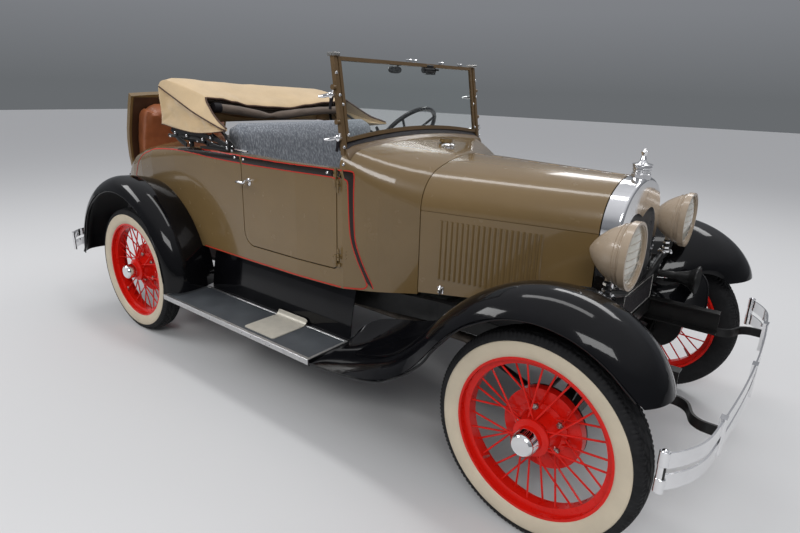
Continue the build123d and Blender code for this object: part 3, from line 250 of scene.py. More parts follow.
def smooth_line(points, step):
    """Points about a step apart on a smooth line through some points."""
    ends = [2 * points[0] - points[1]] + points + [2 * points[-1] - points[-2]]
    line = [points[0]]
    for a, b, c, d in zip(ends, ends[1:], ends[2:], ends[3:]):
        count = max(1, round((c - b).length / step))
        for number in range(1, count + 1):
            t = number / count
            line.append(0.5 * (2 * b + (c - a) * t + (2 * a - 5 * b + 4 * c - d) * t * t
                               + (3 * b - a - 3 * c + d) * t ** 3))
    return line


def path(places, step=0.02):
    """A smooth line over places in millimetres."""
    return smooth_line(spots(*places), step)


def at(line, share):
    """The point at a share of a line's length."""
    lengths = [0.0]
    for a, b in zip(line, line[1:]):
        lengths.append(lengths[-1] + (b - a).length)
    goal = share * lengths[-1]
    for a, b, start, end in zip(line, line[1:], lengths, lengths[1:]):
        if goal <= end:
            return a.lerp(b, (goal - start) / max(end - start, 1e-9))
    return line[-1].copy()


def heading(line, number):
    """A line's direction at one of its points."""
    return (line[min(number + 1, len(line) - 1)] - line[max(number - 1, 0)]).normalized()


def turns(steps):
    """The angles of a full turn in equal steps."""
    return [2 * pi * step / steps for step in range(steps)]


def rounded(x0, y0, x1, y1, radius):
    """The (x, y) points of a rectangle with round corners."""
    outline = []
    for cx, cy, start in ((x1 - radius, y1 - radius, 0), (x0 + radius, y1 - radius, 90),
                          (x0 + radius, y0 + radius, 180), (x1 - radius, y0 + radius, 270)):
        for angle in range(start, start + 91, 15):
            outline.append((cx + radius * cos(radians(angle)), cy + radius * sin(radians(angle))))
    return outline


def basis(origin, axis):
    """A matrix whose Z runs along an axis from an origin."""
    z = Vector(axis).normalized()
    x = (UP if abs(z.z) < 0.9 else Vector((1, 0, 0))).cross(z).normalized()
    return Matrix.Translation(origin) @ Matrix((x, z.cross(x), z)).transposed().to_4x4()


def add_mesh(name, verts, faces, material):
    """A new smooth object from vertices and faces."""
    mesh = bpy.data.meshes.new(name)
    mesh.from_pydata([tuple(v) for v in verts], [], faces)
    mesh.validate()
    mesh.materials.append(material)
    mesh.shade_smooth()
    piece = bpy.data.objects.new(name, mesh)
    bpy.context.scene.collection.objects.link(piece)
    return piece


def apply_modifier(piece, kind, **settings):
    """Works a modifier into a piece's mesh."""
    modifier = piece.modifiers.new(kind.lower(), kind)
    for name, value in settings.items():
        setattr(modifier, name, value)
    bpy.context.view_layer.objects.active = piece
    bpy.ops.object.modifier_apply(modifier=modifier.name)


class Form:
    """Small shapes gathered into one mesh; each shape's method returns the form."""

    def __init__(self):
        self.verts = []
        self.faces = []

    def add(self, verts, faces):
        start = len(self.verts)
        self.verts += [Vector(v) for v in verts]
        self.faces += [tuple(start + index for index in face) for face in faces]
        return self

    def grid(self, rows, close_rows=False, close_columns=False, caps=False):
        """A skin over rows of points; caps close it over its first and last rows."""
        count, width = len(rows), len(rows[0])
        faces = []
        for i in range(count if close_rows else count - 1):
            for j in range(width if close_columns else width - 1):
                a, b, right = i * width, (i + 1) % count * width, (j + 1) % width
                faces.append((a + j, a + right, b + right, b + j))
        if caps:
            faces += [tuple(reversed(range(width))), tuple(range((count - 1) * width, count * width))]
        return self.add([point for row in rows for point in row], faces)

    def shell(self, rows, shift):
        """A skin over rows of points and its back at a shift, joined along the first and last rows."""
        return self.grid(rows + [[p + Vector(shift) for p in row] for row in reversed(rows)], close_rows=True)

    def turned(self, profile, origin, axis, steps=20, closed=False, dip=lambda along, radius, angle: 0):
        """A turned shape of (along the axis, radius) points; a radius of 0 closes it, and dip is cut off."""
        place = basis(origin, axis)
        rows = []
        for angle in turns(steps):
            sizes = [(along, radius - dip(along, radius, angle)) for along, radius in profile]
            rows.append([place @ Vector((r * cos(angle), r * sin(angle), along)) for along, r in sizes])
        return self.grid(rows, close_rows=True, close_columns=closed)

    def tube(self, points, radius, steps=10, flat=1.0):
        """A rod along points, with closed ends; flat squeezes it across."""
        normal = heading(points, 0).orthogonal().normalized()
        rows = []
        for number, point in enumerate(points):
            ahead = heading(points, number)
            normal = (normal - ahead * normal.dot(ahead)).normalized()
            across = ahead.cross(normal)
            size = radius[number] if isinstance(radius, list) else radius
            rows.append([point + size * (cos(a) * normal + flat * sin(a) * across) for a in turns(steps)])
        return self.grid(rows, close_columns=True, caps=True)

    def block(self, low, high, edge, place=Matrix()):
        """A block with chamfered edges: the convex form around three points at each corner."""
        shape = bmesh.new()
        for pick in range(8):
            corner = [(low, high)[pick >> axis & 1][axis] for axis in range(3)]
            inward = [edge if corner[axis] == low[axis] else -edge for axis in range(3)]
            for axis in range(3):
                shape.verts.new(place @ Vector([c + (0 if k == axis else inward[k])
                                                for k, c in enumerate(corner)]))
        made = bmesh.ops.convex_hull(shape, input=shape.verts)
        bmesh.ops.delete(shape, geom=[v for v in made["geom_interior"] if isinstance(v, bmesh.types.BMVert)],
                         context="VERTS")
        shape.verts.index_update()
        self.add([v.co for v in shape.verts], [[v.index for v in face.verts] for face in shape.faces])
        shape.free()
        return self

    def slab(self, outline, thickness, edge):
        """A flat plate from an outline of points, chamfered on its far side."""
        middle = sum(outline, Vector()) / len(outline)
        thickness = Vector(thickness)
        straight = thickness * (1 - edge / max(thickness.length, edge))
        edge_row = [p + thickness - (p - middle).normalized() * edge for p in outline]
        return self.grid([outline, [p + straight for p in outline], edge_row], close_columns=True, caps=True)

    def bolt(self, place, axis, radius, height):
        """A domed bolt head."""
        return self.turned([(-0.001, radius), (height * 0.45, radius), (height * 0.85, radius * 0.7),
                            (height, 0)], place, axis, 12)

    def nut(self, place, axis, radius, height):
        """A hexagon nut with a domed stud end."""
        self.turned([(0, radius), (height * 0.85, radius), (height, radius * 0.85), (height, 0)],
                    place, axis, 6)
        return self.turned([(height, radius * 0.5), (height * 1.4, radius * 0.45), (height * 1.5, 0)],
                           place, axis, 10)

    def mirrored(self):
        """The same shapes on the car's other side, as a form of their own."""
        return Form().add([(v.x, -v.y, v.z) for v in self.verts], [face[::-1] for face in self.faces])

    def twin(self):
        """Adds the same shapes on the car's other side."""
        other = self.mirrored()
        return self.add(other.verts, other.faces)

    def piece(self, name, material, body="chassis", slot=None, sharp=35):
        """One object of all the shapes, riding on a body; the slot argument is not used."""
        made = add_mesh(name, self.verts, self.faces, material)
        shape = bmesh.new()
        shape.from_mesh(made.data)
        bmesh.ops.remove_doubles(shape, verts=shape.verts, dist=0.00001)
        bmesh.ops.recalc_face_normals(shape, faces=shape.faces)
        shape.to_mesh(made.data)
        shape.free()
        made.data.set_sharp_from_angle(angle=radians(sharp))
        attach(made, body)
        return made

    def pair(self, name, material, body):
        """A piece on the right body and its mirror image on the left one; {} in a name is the side."""
        self.piece(name.format("right"), material, body.format("right"))
        self.mirrored().piece(name.format("left"), material, body.format("left"))


def surface(*names):
    """Some CAD nodes' shape, for finding points on them."""
    form = Form()
    for name in names:
        mesh = nodes[name].data
        form.add([v.co for v in mesh.vertices], [polygon.vertices for polygon in mesh.polygons])
    return BVHTree.FromPolygons(form.verts, form.faces)


def below(shape, x, y, z):
    """The point of a shape that a fall from a place meets."""
    return shape.ray_cast(spot(x, y, z), DOWN)[0]


# Wheels

# centre, outward axis, body and tyre node of each wheel
wheels = {}
for end in ("front", "rear"):
    for side, sign in (("right", -1), ("left", 1)):
        joint = joints[f"spin_{end}_{side}"]
        wheels[f"{end}_{side}"] = (Vector(joint["pos_m"]), Vector(joint["axis"]) * sign,
                                   f"{end}_wheel_{side}", f"{end}_tyre_{side}")
low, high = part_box("spare_tyre")
wheels["spare"] = ((Vector(low) + Vector(high)) / 2, Vector((-1, 0, 0)), "chassis", "spare_tyre")

# profiles: (along the axis from the wheel's middle, radius)
TREAD = [(0.001 * a, TYRE_RADIUS - 0.0062 * (a / 44) ** 2) for a in
         (44, 40, 36, 33.5, 32, 30.5, 28, 25.5, 23, 20, 17, 15.5, 13.5, 11, 9, 5, 0)]
OUTER_WALL = [(0.0545, 0.3425), (0.0552, 0.3470), (0.0543, 0.3540), (0.0510, 0.3615), (0.0478, 0.3672)]
INNER_WALL = [(-0.0552, 0.3470), (-0.0572, 0.3330), (-0.0560, 0.3170), (-0.0500, 0.2970), (-0.0400, 0.2840)]
TYRE = (OUTER_WALL + TREAD + [(-a, r) for a, r in TREAD[-2::-1] + OUTER_WALL[:1:-1]] + INNER_WALL
        + [(0.0, 0.2830), (0.0390, 0.2845)])
WHITEWALL = [
    (0.0390, 0.2842), (0.0460, 0.2865), (0.0505, 0.2935), (0.0545, 0.3040), (0.0568, 0.3170),
    (0.0574, 0.3300), (0.0566, 0.3400), (0.0552, 0.3436), (0.0535, 0.3430), (0.0480, 0.3200),
    (0.0380, 0.2900),
]
HUB_CAP = [
    (0.054, 0.0428), (0.058, 0.0438), (0.062, 0.0426), (0.088, 0.0422), (0.095, 0.0400), (0.0995, 0.0352),
    (0.1012, 0.0335), (0.1006, 0.0315), (0.1018, 0.018), (0.1036, 0),
]
SPARE_CAP = [(0.012, 0.034), (0.022, 0.034), (0.032, 0.030), (0.038, 0.018), (0.040, 0)]


def tread_dip(along, radius, angle):
    """How far the tread dips below its crown: zigzag grooves and shoulder notches."""
    across = abs(along)
    zigzag = 0.0035 * (2 * abs((angle * 48 / pi) % 2 - 1) - 1)
    if radius > 0.36 and (abs(across - 0.0135 - zigzag) < 0.0028 or abs(across - 0.0285 + zigzag) < 0.0028):
        return 0.0052
    if radius > 0.36 and across > 0.033 and (angle * 72 / pi) % 1 < 0.40:
        return 0.0032
    return 0


for name, (origin, axis, body, tyre_node) in wheels.items():
    spare = name == "spare"
    tyre = Form().turned(TYRE, origin, axis, 576, closed=True, dip=tread_dip)
    tyre = tyre.piece(f"tyre_{name}", rubber, body)
    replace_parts(tyre, tyre_node)
    wall = Form().turned(WHITEWALL, origin, axis, 144, closed=True)
    wall.piece(f"whitewall_{name}", white_rubber, body, sharp=180)
    cap = Form().turned(SPARE_CAP, origin, axis, 40) if spare else Form().turned(HUB_CAP, origin, axis, 48)
    cap.piece(f"hub_cap_{name}", chrome, body)

    nuts = Form()
    side = axis.cross(UP).normalized()
    up = side.cross(axis)
    wheel = surface("spare_wheel" if spare else body)
    from_centre, from_middle = (0.0545, 0.3) if spare else (0.084, -0.015)
    for turn in turns(5):
        out = cos(turn + 0.3) * up + sin(turn + 0.3) * side
        found = wheel.ray_cast(origin + out * from_centre + axis * from_middle, -axis)[0]
        if found is not None:
            nuts.nut(found - axis * 0.001, axis, 0.012, 0.012)
    valve = cos(2.35) * up + sin(2.35) * side
    nuts.tube([origin + valve * out + axis * along
               for out, along in ((0.262, 0.012), (0.232, 0.022), (0.216, 0.028))],
              [0.0055, 0.0050, 0.0042])
    nuts.piece(f"wheel_nuts_{name}", steel, body)


# Painted lines on the panels

panels = {name: surface(name) for name in ("body", "cowl", "door_right")}
SIDE_Y, SIDE_TURN = -0.44, -0.12  # a hit is on the side where its y and its normal's y are below these
SINK = 0.0005  # how deep a band's back lies in the panel
BRIDGE = 0.03  # the longest gap between two rings of a band that it still crosses


def side_hit(x, z):
    """The outermost panel point on a level line from the right, with its normal and panel; in metres."""
    hits = []
    for name, panel in panels.items():
        point, normal, _, distance = panel.ray_cast(Vector((x, -2, z)), -OUT)
        if point is not None and point.y < SIDE_Y and normal.y < SIDE_TURN:
            hits.append((distance, point, normal, name))
    return min(hits, key=lambda hit: hit[0])[1:] if hits else None


def on_side(x, z):
    """A point and normal on the right side."""
    return side_hit(FRONT + x / 1000, z / 1000)[:2]


def painted(upper, lower, name, material, lift, crown=0.0, across=2):
    """A band between two lines on the right side and its twin, split where the panels part."""
    forms = {owner: Form() for owner in panels}
    shares = [number / (across - 1) for number in range(across)]
    runs = []
    for high, low in zip(upper, lower):
        hits = [side_hit(place.x, place.z) for place in (high.lerp(low, share) for share in shares)]
        if None in hits or len({hit[2] for hit in hits}) > 1:
            continue
        owner = hits[0][2]
        ring = [hit[0] + hit[1] * (lift + crown * 4 * share * (1 - share))
                for hit, share in zip(hits, shares)]
        ring += [point - normal * SINK for point, normal, _ in (hits[-1], hits[0])]
        if not runs or runs[-1][0] != owner or (runs[-1][1][-1][0] - ring[0]).length > BRIDGE:
            runs.append((owner, []))
        runs[-1][1].append(ring)
    for owner, rings in runs:
        if len(rings) > 1:
            forms[owner].grid(rings, close_columns=True, caps=True)
    if forms["door_right"].verts:
        forms["door_right"].pair(f"{name}_door_{{}}", material, "door_{}")
    for owner in ("body", "cowl"):
        if forms[owner].verts:
            forms[owner].twin().piece(f"{name}_{owner}", material)


def side_path(*places, top=2.0):
    """A smooth line over (x, z) places on the car's side, kept below a height."""
    return [Vector((p.x, p.y, min(p.z, top))) for p in path([(x, 0, z) for x, z in places], 0.008)]


def offset(line, distance):
    """A line beside another, in the side view."""
    ahead = [heading(line, number) for number in range(len(line))]
    return [point + Vector((-way.z, 0, way.x)) * distance for point, way in zip(line, ahead)]


lower_line = side_path((-2905, 905), (-2880, 940), (-2850, 980), (-2773, 1045), (-2689, 1074), (-2611, 1094),
                       (-2375, 1112), (-2171, 1113), (-1964, 1105), (-1692, 1101), (-1426, 1101),
                       (-1197, 1102), (-1060, 1101), (-1041, 1099), (-1030, 1090), (-1027, 1070),
                       (-1025, 1013), (-1021, 900), (-1013, 827), (-992, 751), (-968, 688), (-948, 636),
                       (-950, 620), (-962, 610), (-991, 606), (-1060, 605), (-1250, 605), (-1500, 605),
                       (-1800, 605), (-2100, 605))
upper_line = side_path((-2090, 1139), (-2025, 1140), (-1782, 1137), (-1622, 1135), (-1425, 1133),
                       (-1196, 1135), (-1094, 1134), (-1045, 1135), (-1018, 1134), (-1007, 1131),
                       (-1003, 1120), (-1003, 1100), (-1005, 1013), (-1003, 900), (-997, 827), (-976, 751),
                       (-952, 688), (-932, 640), (-922, 612), top=1.1368)
band_top = side_path((-2330, 1121), (-2300, 1124), (-2240, 1131), (-2170, 1138), (-2090, 1140),
                     top=1.1392) + upper_line[1:]
HALF_LINE = 0.00275  # half the width of a pinstripe
for line, label in ((lower_line, "lower"), (upper_line, "upper")):
    painted(offset(line, HALF_LINE), offset(line, -HALF_LINE), f"pinstripe_{label}", pinstripe, 0.0012)

# the belt band, in three stretches: along the belt, round the corner and down the cowl
band_bottom = [p for p in lower_line if p.x > FRONT - 2.332 and not (p.z < 0.640 and p.x < FRONT - 0.9)]
stretches = []
for line in (band_top, band_bottom):
    turn_in = next(n for n, p in enumerate(line) if p.x > FRONT - 1.060)
    turn_out = next(n for n, p in enumerate(line) if n > turn_in and p.z < 1.070)
    stretches.append((line[:turn_in + 1], line[turn_in:turn_out + 1], line[turn_out:]))
high_side, low_side = [], []
for high, low, count in zip(*stretches, (420, 24, 160)):
    high_side += [at(high, number / count) for number in range(count + 1)]
    low_side += [at(low, number / count) for number in range(count + 1)]
painted(high_side, low_side, "belt_band", belt_paint, 0.0010, 0.0010, 9)


# Doors, bonnet and body fittings

handle = Form()
place = on_side(-1669, 1014)[0]
handle.turned([(-0.001, 0.019), (0.003, 0.019), (0.006, 0.014), (0.008, 0.009), (0.030, 0.0075), (0.034, 0)],
              place, OUT, 28)
bar = smooth_line([place + OUT * 0.036 + Vector(move) for move in (
    (-0.062, 0.004, -0.004), (-0.045, 0, 0), (0, 0, 0), (0.016, 0, 0.010), (0.020, 0.001, 0.016))], 0.004)
handle.tube(bar, [0.0035 + 0.0045 * sin(pi * min(1, 0.12 + 0.88 * n / len(bar)))
                  for n in range(len(bar))], 12)
handle.pair("door_{}_handle", chrome, "door_{}")
studs = Form()
for x, z in ((-1704, 1121), (-1134, 1118)):
    studs.bolt(*on_side(x, z), *STUD)
studs.pair("door_{}_studs", chrome, "door_{}")

hinges = Form()
for z in (1066, 760):
    foot, top = spots((-1062, -580.5, z - 26), (-1062, -580.5, z + 26))
    for start, end in ((0, 0.3), (0.34, 0.66), (0.7, 1)):
        hinges.tube([foot.lerp(top, start), foot.lerp(top, end)], 0.0055, 12)
    hinges.turned([(0, 0.004), (0.004, 0.0035), (0.006, 0)], top, UP, 12)
    for dz in (-16, 0, 16):
        hinges.bolt(*on_side(-1036, z + dz), 0.0035, 0.0025)
hinges.twin().piece("door_hinges", khaki)

Form().bolt(*on_side(-1775, 1124), *STUD).twin().piece("belt_studs", chrome)

bonnet = surface("hood_side_right")
latches = Form()
for x in (-637, -150):
    place, normal, _, _ = bonnet.find_nearest(spot(x, -420, 645))
    latches.block((-0.013, -0.020, -0.001), (0.013, 0.012, 0.004), 0.0015, basis(place, normal))
    latches.tube([place + normal * out + UP * up
                  for out, up in ((0.006, 0.016), (0.014, 0.002), (0.010, -0.022))],
                 [0.005, 0.0075, 0.004], 12)
    latches.tube([place + normal * 0.007 + Vector((along, 0, 0.008)) for along in (-0.012, 0.012)], 0.004)
latches.pair("bonnet_side_{}_latches", chrome, "bonnet_side_{}")

outline = [spot(x, -527.4, z) for x, z in rounded(-1716, 704, -1079, 1096, 26)]
Form().slab(outline, (0, 0.006, 0), 0.003).pair("door_{}_card", pan_brown, "door_{}")


# Running boards, in millimetres

BOARD_TOP = 362
OUTER, INNER = -838, -591
REAR_END, FRONT_END = -2149, -992
boards, trim, plates = Form(), Form(), Form()
boards.slab([spot(x, y, BOARD_TOP) for x, y in (
    (REAR_END + 14, INNER - 12), (REAR_END + 14, OUTER + 15), (FRONT_END - 12, OUTER + 15),
    (FRONT_END - 12, INNER - 12))], (0, 0, 0.0022), 0.0006)
# low x, low y, high x, high y of the flat strips
for low_x, low_y, high_x, high_y in (
        (REAR_END, OUTER - 1.5, REAR_END + 15, INNER), (FRONT_END - 13, OUTER - 1.5, FRONT_END, INNER),
        (REAR_END + 15, INNER - 13, FRONT_END - 13, INNER),
        (REAR_END + 15, OUTER - 1.5, FRONT_END - 13, OUTER + 16)):
    trim.block(*spots((low_x, low_y, BOARD_TOP), (high_x, high_y, BOARD_TOP + 3.4)), 0.0009)
trim.block(*spots((REAR_END, OUTER - 2, BOARD_TOP - 22), (FRONT_END, OUTER, BOARD_TOP + 3.2)), 0.0006)
for z in (343, 348, 353, 358):
    trim.tube(spots((REAR_END + 2, OUTER - 1.0, z), (FRONT_END - 2, OUTER - 1.0, z)), 0.0011, 8)
boards.twin().piece("board_mats", board_mat)
trim.twin().piece("board_trim", aluminium)

plates.slab([spot(x, y, BOARD_TOP + 2) for x, y in rounded(-1478, -806, -1262, -618, 12)],
            (0, 0, 0.0045), 0.0012)
# (y, z) points of the plate's lip: a quarter turn and a straight edge, from point 7 on cut down at its ends
lip = [(-622 + 26 * sin(a), BOARD_TOP + 5 + 26 * (1 - cos(a)))
       for a in (radians(90 * n / 8) for n in range(9))]
lip.append((-594, BOARD_TOP + 34))
rows = []
for x, drop in ((-1476, 8), (-1470, 2), (-1455, 0), (-1285, 0), (-1270, 2), (-1264, 8)):
    cut = [drop if n > 6 else 0 for n in range(len(lip))]
    top = [spot(x, y, z - down) for (y, z), down in zip(lip, cut)]
    under = [spot(x, y + 2.2 * (n > 2), z - 2.2 - cut[n]) for n, (y, z) in enumerate(lip)]
    rows.append(top + under[::-1])
plates.grid(rows, close_columns=True, caps=True)
for x in (-1466, -1274):
    for y in (-795, -640):
        plates.bolt(spot(x, y, BOARD_TOP + 6), UP, 0.0045, 0.003)
plates.twin().piece("step_plates", step_plate)


# Windscreen fittings

levers, tabs = Form(), Form()
# stud, tip and tab of each clamp
for places in (((-1113, -560, 1441), (-1190, -562, 1434), (-1129, -556, 1384)),
               ((-1073, -560, 1268), (-1157, -562, 1257), (-1091, -556, 1211))):
    stud, tip, tab = spots(*places)
    levers.turned([(-0.030, 0.010), (0.0, 0.010), (0.002, 0.013), (0.010, 0.013), (0.013, 0.009), (0.014, 0)],
                  stud, OUT)
    arm = smooth_line([stud + Vector((0.012, -0.004, 0.010)), stud + Vector((-0.010, -0.006, 0.002)),
                       stud.lerp(tip, 0.55), tip], 0.006)
    levers.tube(arm, [0.006 + 0.004 * sin(pi * n / (len(arm) - 1)) for n in range(len(arm))], 12, 0.7)
    levers.tube([stud + Vector((0.004, 0, 0)), stud + Vector((0.010, -0.004, 0.022))], [0.008, 0.005])
    away = (tab - stud).normalized()
    tabs.tube([stud + away * 0.004, stud.lerp(tab, 0.5), tab], [0.009, 0.0075, 0.006], 10, 0.45)
for place in spots((-1099, -547, 1530), (-1085, -541, 1442), (-1087, -521, 1403), (-1063, -512, 1279),
                   (-1053, -549, 1231)):
    levers.bolt(place, (1, -0.3, 0.15), *STUD)
levers.bolt(*on_side(-1046, 1160), *STUD)
levers.twin().piece("screen_levers", chrome)
tabs.twin().piece("screen_tabs", seal_rubber)

Form().block(*spots((-1146, -556, 1596), (-1102, -520, 1610)), 0.002).twin().piece("top_catches", steel)


def flatter(value, power):
    """A sine or cosine with fuller sides."""
    return abs(value) ** power * (1 if value > 0 else -1)


outline = [spot(-1170, -86 + 46 * flatter(cos(a), 0.7), 1560 + 17 * flatter(sin(a), 0.8)) for a in turns(36)]
mirror = Form().slab(outline, (0.010, 0, 0), 0.004)
mirror.tube(spots((-1162, -86, 1566), (-1150, -80, 1582), (-1132, -70, 1594)), [0.005, 0.004, 0.005], 12)
mirror.piece("rear_view_mirror", frame_black)
face = [p + Vector((-0.0006, 0, 0)) for p in outline]
Form().slab(face, (-0.0012, 0, 0), 0.0008).piece("mirror_face", chrome)

wiper, clips = Form(), Form()
wiper.turned([(0, 0.0), (0, 0.013), (0.004, 0.016), (0.094, 0.016), (0.098, 0.012), (0.098, 0)],
             spot(-1126, 86, 1566), -OUT, 24)
wiper.block(*spots((-1132, 100, 1574), (-1112, 160, 1592)), 0.002)
wiper.tube(spots((-1108, 168, 1572), (-1088, 168, 1568)), 0.005, 12)
wiper.piece("wiper", frame_black)
clips.tube(spots((-1118, 92, 1547), (-1118, 178, 1549)), 0.0035, 8)
for y in (-15, 28, 258, 440):
    clips.block(*spots((-1150, y - 9, 1598), (-1126, y + 9, 1611)), 0.002)
    clips.tube(spots((-1150, y, 1604), (-1158, y, 1592), (-1152, y, 1584)), 0.0035, 8)
clips.piece("top_bar_clips", chrome)

# the screen's bottom rail, its seal and its base follow the cowl's curve; the seal is a real rubber strip,
# drawn deep so that its dark rubber also stands in as painted shade for the gap under the rail
SCREEN_HALF, SCREEN_EDGE = 546, 450
screen_shape = surface("windscreen_frame")
cowl_shape = surface("cowl", "body")
rail_rows, seal_and_shade_rows, base_rows = [], [], []
for number in range(57):
    y = -SCREEN_HALF + 2 * SCREEN_HALF * number / 56
    top = below(screen_shape, -1080, max(-SCREEN_EDGE, min(SCREEN_EDGE, y)), 1420).z * 1000
    top -= max(0, abs(y) - SCREEN_EDGE) * 0.13
    near = below(cowl_shape, -1048, y, 1500).z * 1000
    foot = below(cowl_shape, -1024, y * 0.985, 1500).z * 1000
    edge = max(near + 5, top - 42)
    rail_rows.append([spot(-1079 + 11 * cos(a), y, top - 10 + 12.5 * sin(a)) for a in turns(16)])
    # the seal's section: partly the rubber strip, partly painted shade of the gap between the rail and the
    # cowl
    seal_and_shade_rows.append([spot(x, y, z) for x, z in (
        (-1070, top - 16), (-1049, edge + 2), (-1049, edge - 4), (-1086, edge - 4), (-1086, top - 16))])
    base_rows.append([spot(x, y, z) for x, z in (
        (-1054, edge + 2), (-1049, edge + 4), (-1043, edge + 2), (-1026, foot + 2.5), (-1023, foot - 1),
        (-1054, near - 3))])
for rows, name, material, sharp in ((rail_rows, "screen_rail", frame_brown, 50),
                                    (seal_and_shade_rows, "screen_seal_and_shade", seal_rubber, 35),
                                    (base_rows, "screen_base", frame_brown, 50)):
    Form().grid(rows, close_columns=True, caps=True).piece(name, material, sharp=sharp)

filler = Form()
place = below(cowl_shape, -868, -36, 1400)
filler.turned([(-0.006, 0.024), (0.004, 0.024), (0.004, 0.020)], place, UP, 36)
filler.turned([(0.005, 0.020), (0.006, 0.029), (0.013, 0.030), (0.016, 0.027), (0.018, 0.021),
               (0.0195, 0.008), (0.0198, 0)], place, UP, 36)
for angle in turns(14):
    edge = place + 0.0295 * Vector((cos(angle), sin(angle), 0))
    filler.tube([edge + UP * 0.006, edge + UP * 0.013], 0.0022, 6)
filler.piece("fuel_cap", chrome)


# Lamps

LAMP_Y, LAMP_Z = 387, 960
LENS_X, STEM_X = 126, 60
LENS_RADIUS, LENS_RISE = 0.1085, 0.0150
lamp_shape = surface("headlamps")


def on_lens(centre, y, z):
    """A point on a lens's dome, y and z from its middle."""
    return centre + Vector((LENS_RISE * (1 - (y * y + z * z) / LENS_RADIUS ** 2), y, z))


lens, ribs, rims, bands, feet, sleeves = (Form() for _ in range(6))
for lamp_y in (-LAMP_Y, LAMP_Y):
    centre = spot(LENS_X, lamp_y, LAMP_Z)
    radii = [LENS_RADIUS * i / 24 for i in range(25)]
    lens.grid([[on_lens(centre, r * cos(a), r * sin(a)) for a in turns(96)] for r in radii],
              close_columns=True)
    for z in (-0.075, -0.050, -0.025, 0, 0.025, 0.050, 0.075):
        half = (0.103 ** 2 - z * z) ** 0.5
        ribs.tube([on_lens(centre, half * (step / 8 - 1), z) for step in range(17)], 0.0011, 6)
    rims.turned([(0.0, 0.1085), (0.004, 0.1125), (0.008, 0.1120), (0.010, 0.1085), (0.008, 0.1050),
                 (0.0, 0.1040)],
                centre, (1, 0, 0), 72)
    for x, width in ((104, 5), (88, 3)):
        rows = []
        for angle in turns(96):
            out = Vector((0, cos(angle), sin(angle)))
            rows.append([])
            for dx, rise in ((-width, -0.001), (-width * 0.6, 0.0022), (width * 0.6, 0.0022),
                             (width, -0.001)):
                found = lamp_shape.ray_cast(spot(x + dx, lamp_y, LAMP_Z) + out * 0.2, -out)[0]
                rows[-1].append(found + out * rise)
        bands.grid(rows, close_rows=True, close_columns=True)
    sleeves.turned([(0, 0.0), (0, 0.0125), (0.056, 0.0125), (0.058, 0)], spot(STEM_X, lamp_y, 802), UP, 24)
    for z, r in ((806, 0.020), (822, 0.017), (846, 0.016)):
        feet.turned([(-0.004, 0.0), (-0.004, r), (0.004, r), (0.004, 0)], spot(STEM_X, lamp_y, z), UP, 6)
    for dx, dy in ((-24, 0), (24, 0), (0, -24), (0, 24)):
        feet.nut(spot(STEM_X + dx, lamp_y + dy, 798), UP, 0.008, 0.010)
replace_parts(lens.piece("lamp_lenses", lens_glass), "headlamp_lenses")
rims.piece("lamp_rims", lamp_paint)
ribs.piece("lens_ribs", lamp_paint)
bands.piece("lamp_bands", lamp_paint, sharp=50)
sleeves.piece("lamp_sleeves", frame_black)
feet.piece("lamp_feet", chrome, sharp=30)

# the radiator cap's crown: height above the shell and radius, in mm
crown = Form().turned([(high / 1000, radius / 1000) for high, radius in (
    (11, 0), (11, 30), (14, 31), (16, 33.5), (19, 33.5), (21, 31.5), (24, 32.5), (26, 35), (29, 35), (31, 33),
    (34, 34), (36, 36.5), (39, 36.5), (41, 34.5), (43, 36), (44, 38), (49, 38), (50, 35), (53, 21), (60, 14),
    (67, 9.5), (67, 0))], spot(9, 0, 1174), UP, 64)
crown.piece("cap_crown", chrome, sharp=30)


# Wing panels and beads

panel_top = path((
    (-430, 402, 606), (-360, 403, 636), (-300, 403, 661), (-220, 402, 674), (-140, 398, 681), (-60, 395, 679),
    (0, 395, 673), (60, 403, 672), (110, 418, 679), (150, 437, 690), (185, 461, 704), (212, 474, 706),
    (236, 470, 680), (250, 460, 635), (257, 452, 585), (256, 441, 535), (247, 424, 500)), 0.01)
panel_foot = path((
    (-430, 379, 560), (-300, 376, 560), (-140, 374, 560), (0, 373, 560), (110, 371, 558), (180, 372, 540),
    (220, 376, 512), (240, 392, 496)), 0.01)
rows = []
for number in range(81):
    high, low = at(panel_top, number / 80), at(panel_foot, number / 80)
    rows.append([high.lerp(low, n / 12) + Vector((0, 0.010 * sin(pi * n / 12), 0)) for n in range(13)])
valance = Form().shell(rows, (0, -0.0025, 0))
valance.tube(smooth_line([rows[n][0] for n in range(56, 81, 4)] + [rows[80][n] for n in (4, 8, 12)], 0.01),
             0.004, 8)
valance.twin().piece("front_valances", black_paint, sharp=60)

bead = Form()
for places in (
        ((-992, -832, 343), (-920, -833, 352), (-840, -833, 359), (-760, -833, 370), (-680, -833, 383),
         (-600, -833, 405), (-560, -833, 427), (-520, -833, 453), (-480, -833, 478), (-440, -833, 512),
         (-400, -833, 553), (-360, -833, 612), (-320, -833, 660), (-280, -833, 704), (-240, -832, 739),
         (-200, -832, 763), (-160, -832, 785), (-120, -832, 802), (-80, -832, 814), (-40, -831, 820),
         (0, -831, 823), (40, -831, 821), (80, -831, 815), (120, -831, 805), (160, -830, 789),
         (200, -829, 768), (240, -827, 741), (280, -823, 704), (312, -815, 672)),
        ((-3148, -822, 408), (-3120, -824, 440), (-3080, -824, 518), (-3040, -824, 616), (-3000, -822, 688),
         (-2960, -822, 732), (-2920, -822, 765), (-2880, -822, 790), (-2840, -822, 814), (-2800, -822, 833),
         (-2760, -822, 846), (-2720, -822, 857), (-2680, -822, 863), (-2640, -822, 866), (-2600, -822, 865),
         (-2560, -822, 860), (-2520, -822, 852), (-2480, -822, 840), (-2440, -822, 824), (-2400, -822, 804),
         (-2360, -822, 782), (-2320, -822, 752), (-2280, -822, 712), (-2240, -822, 648), (-2200, -822, 568),
         (-2170, -822, 420))):
    bead.tube(path(places), 0.0048, 8)
bead.twin().piece("wing_beads", black_paint, sharp=60)


# Number plate and front fittings

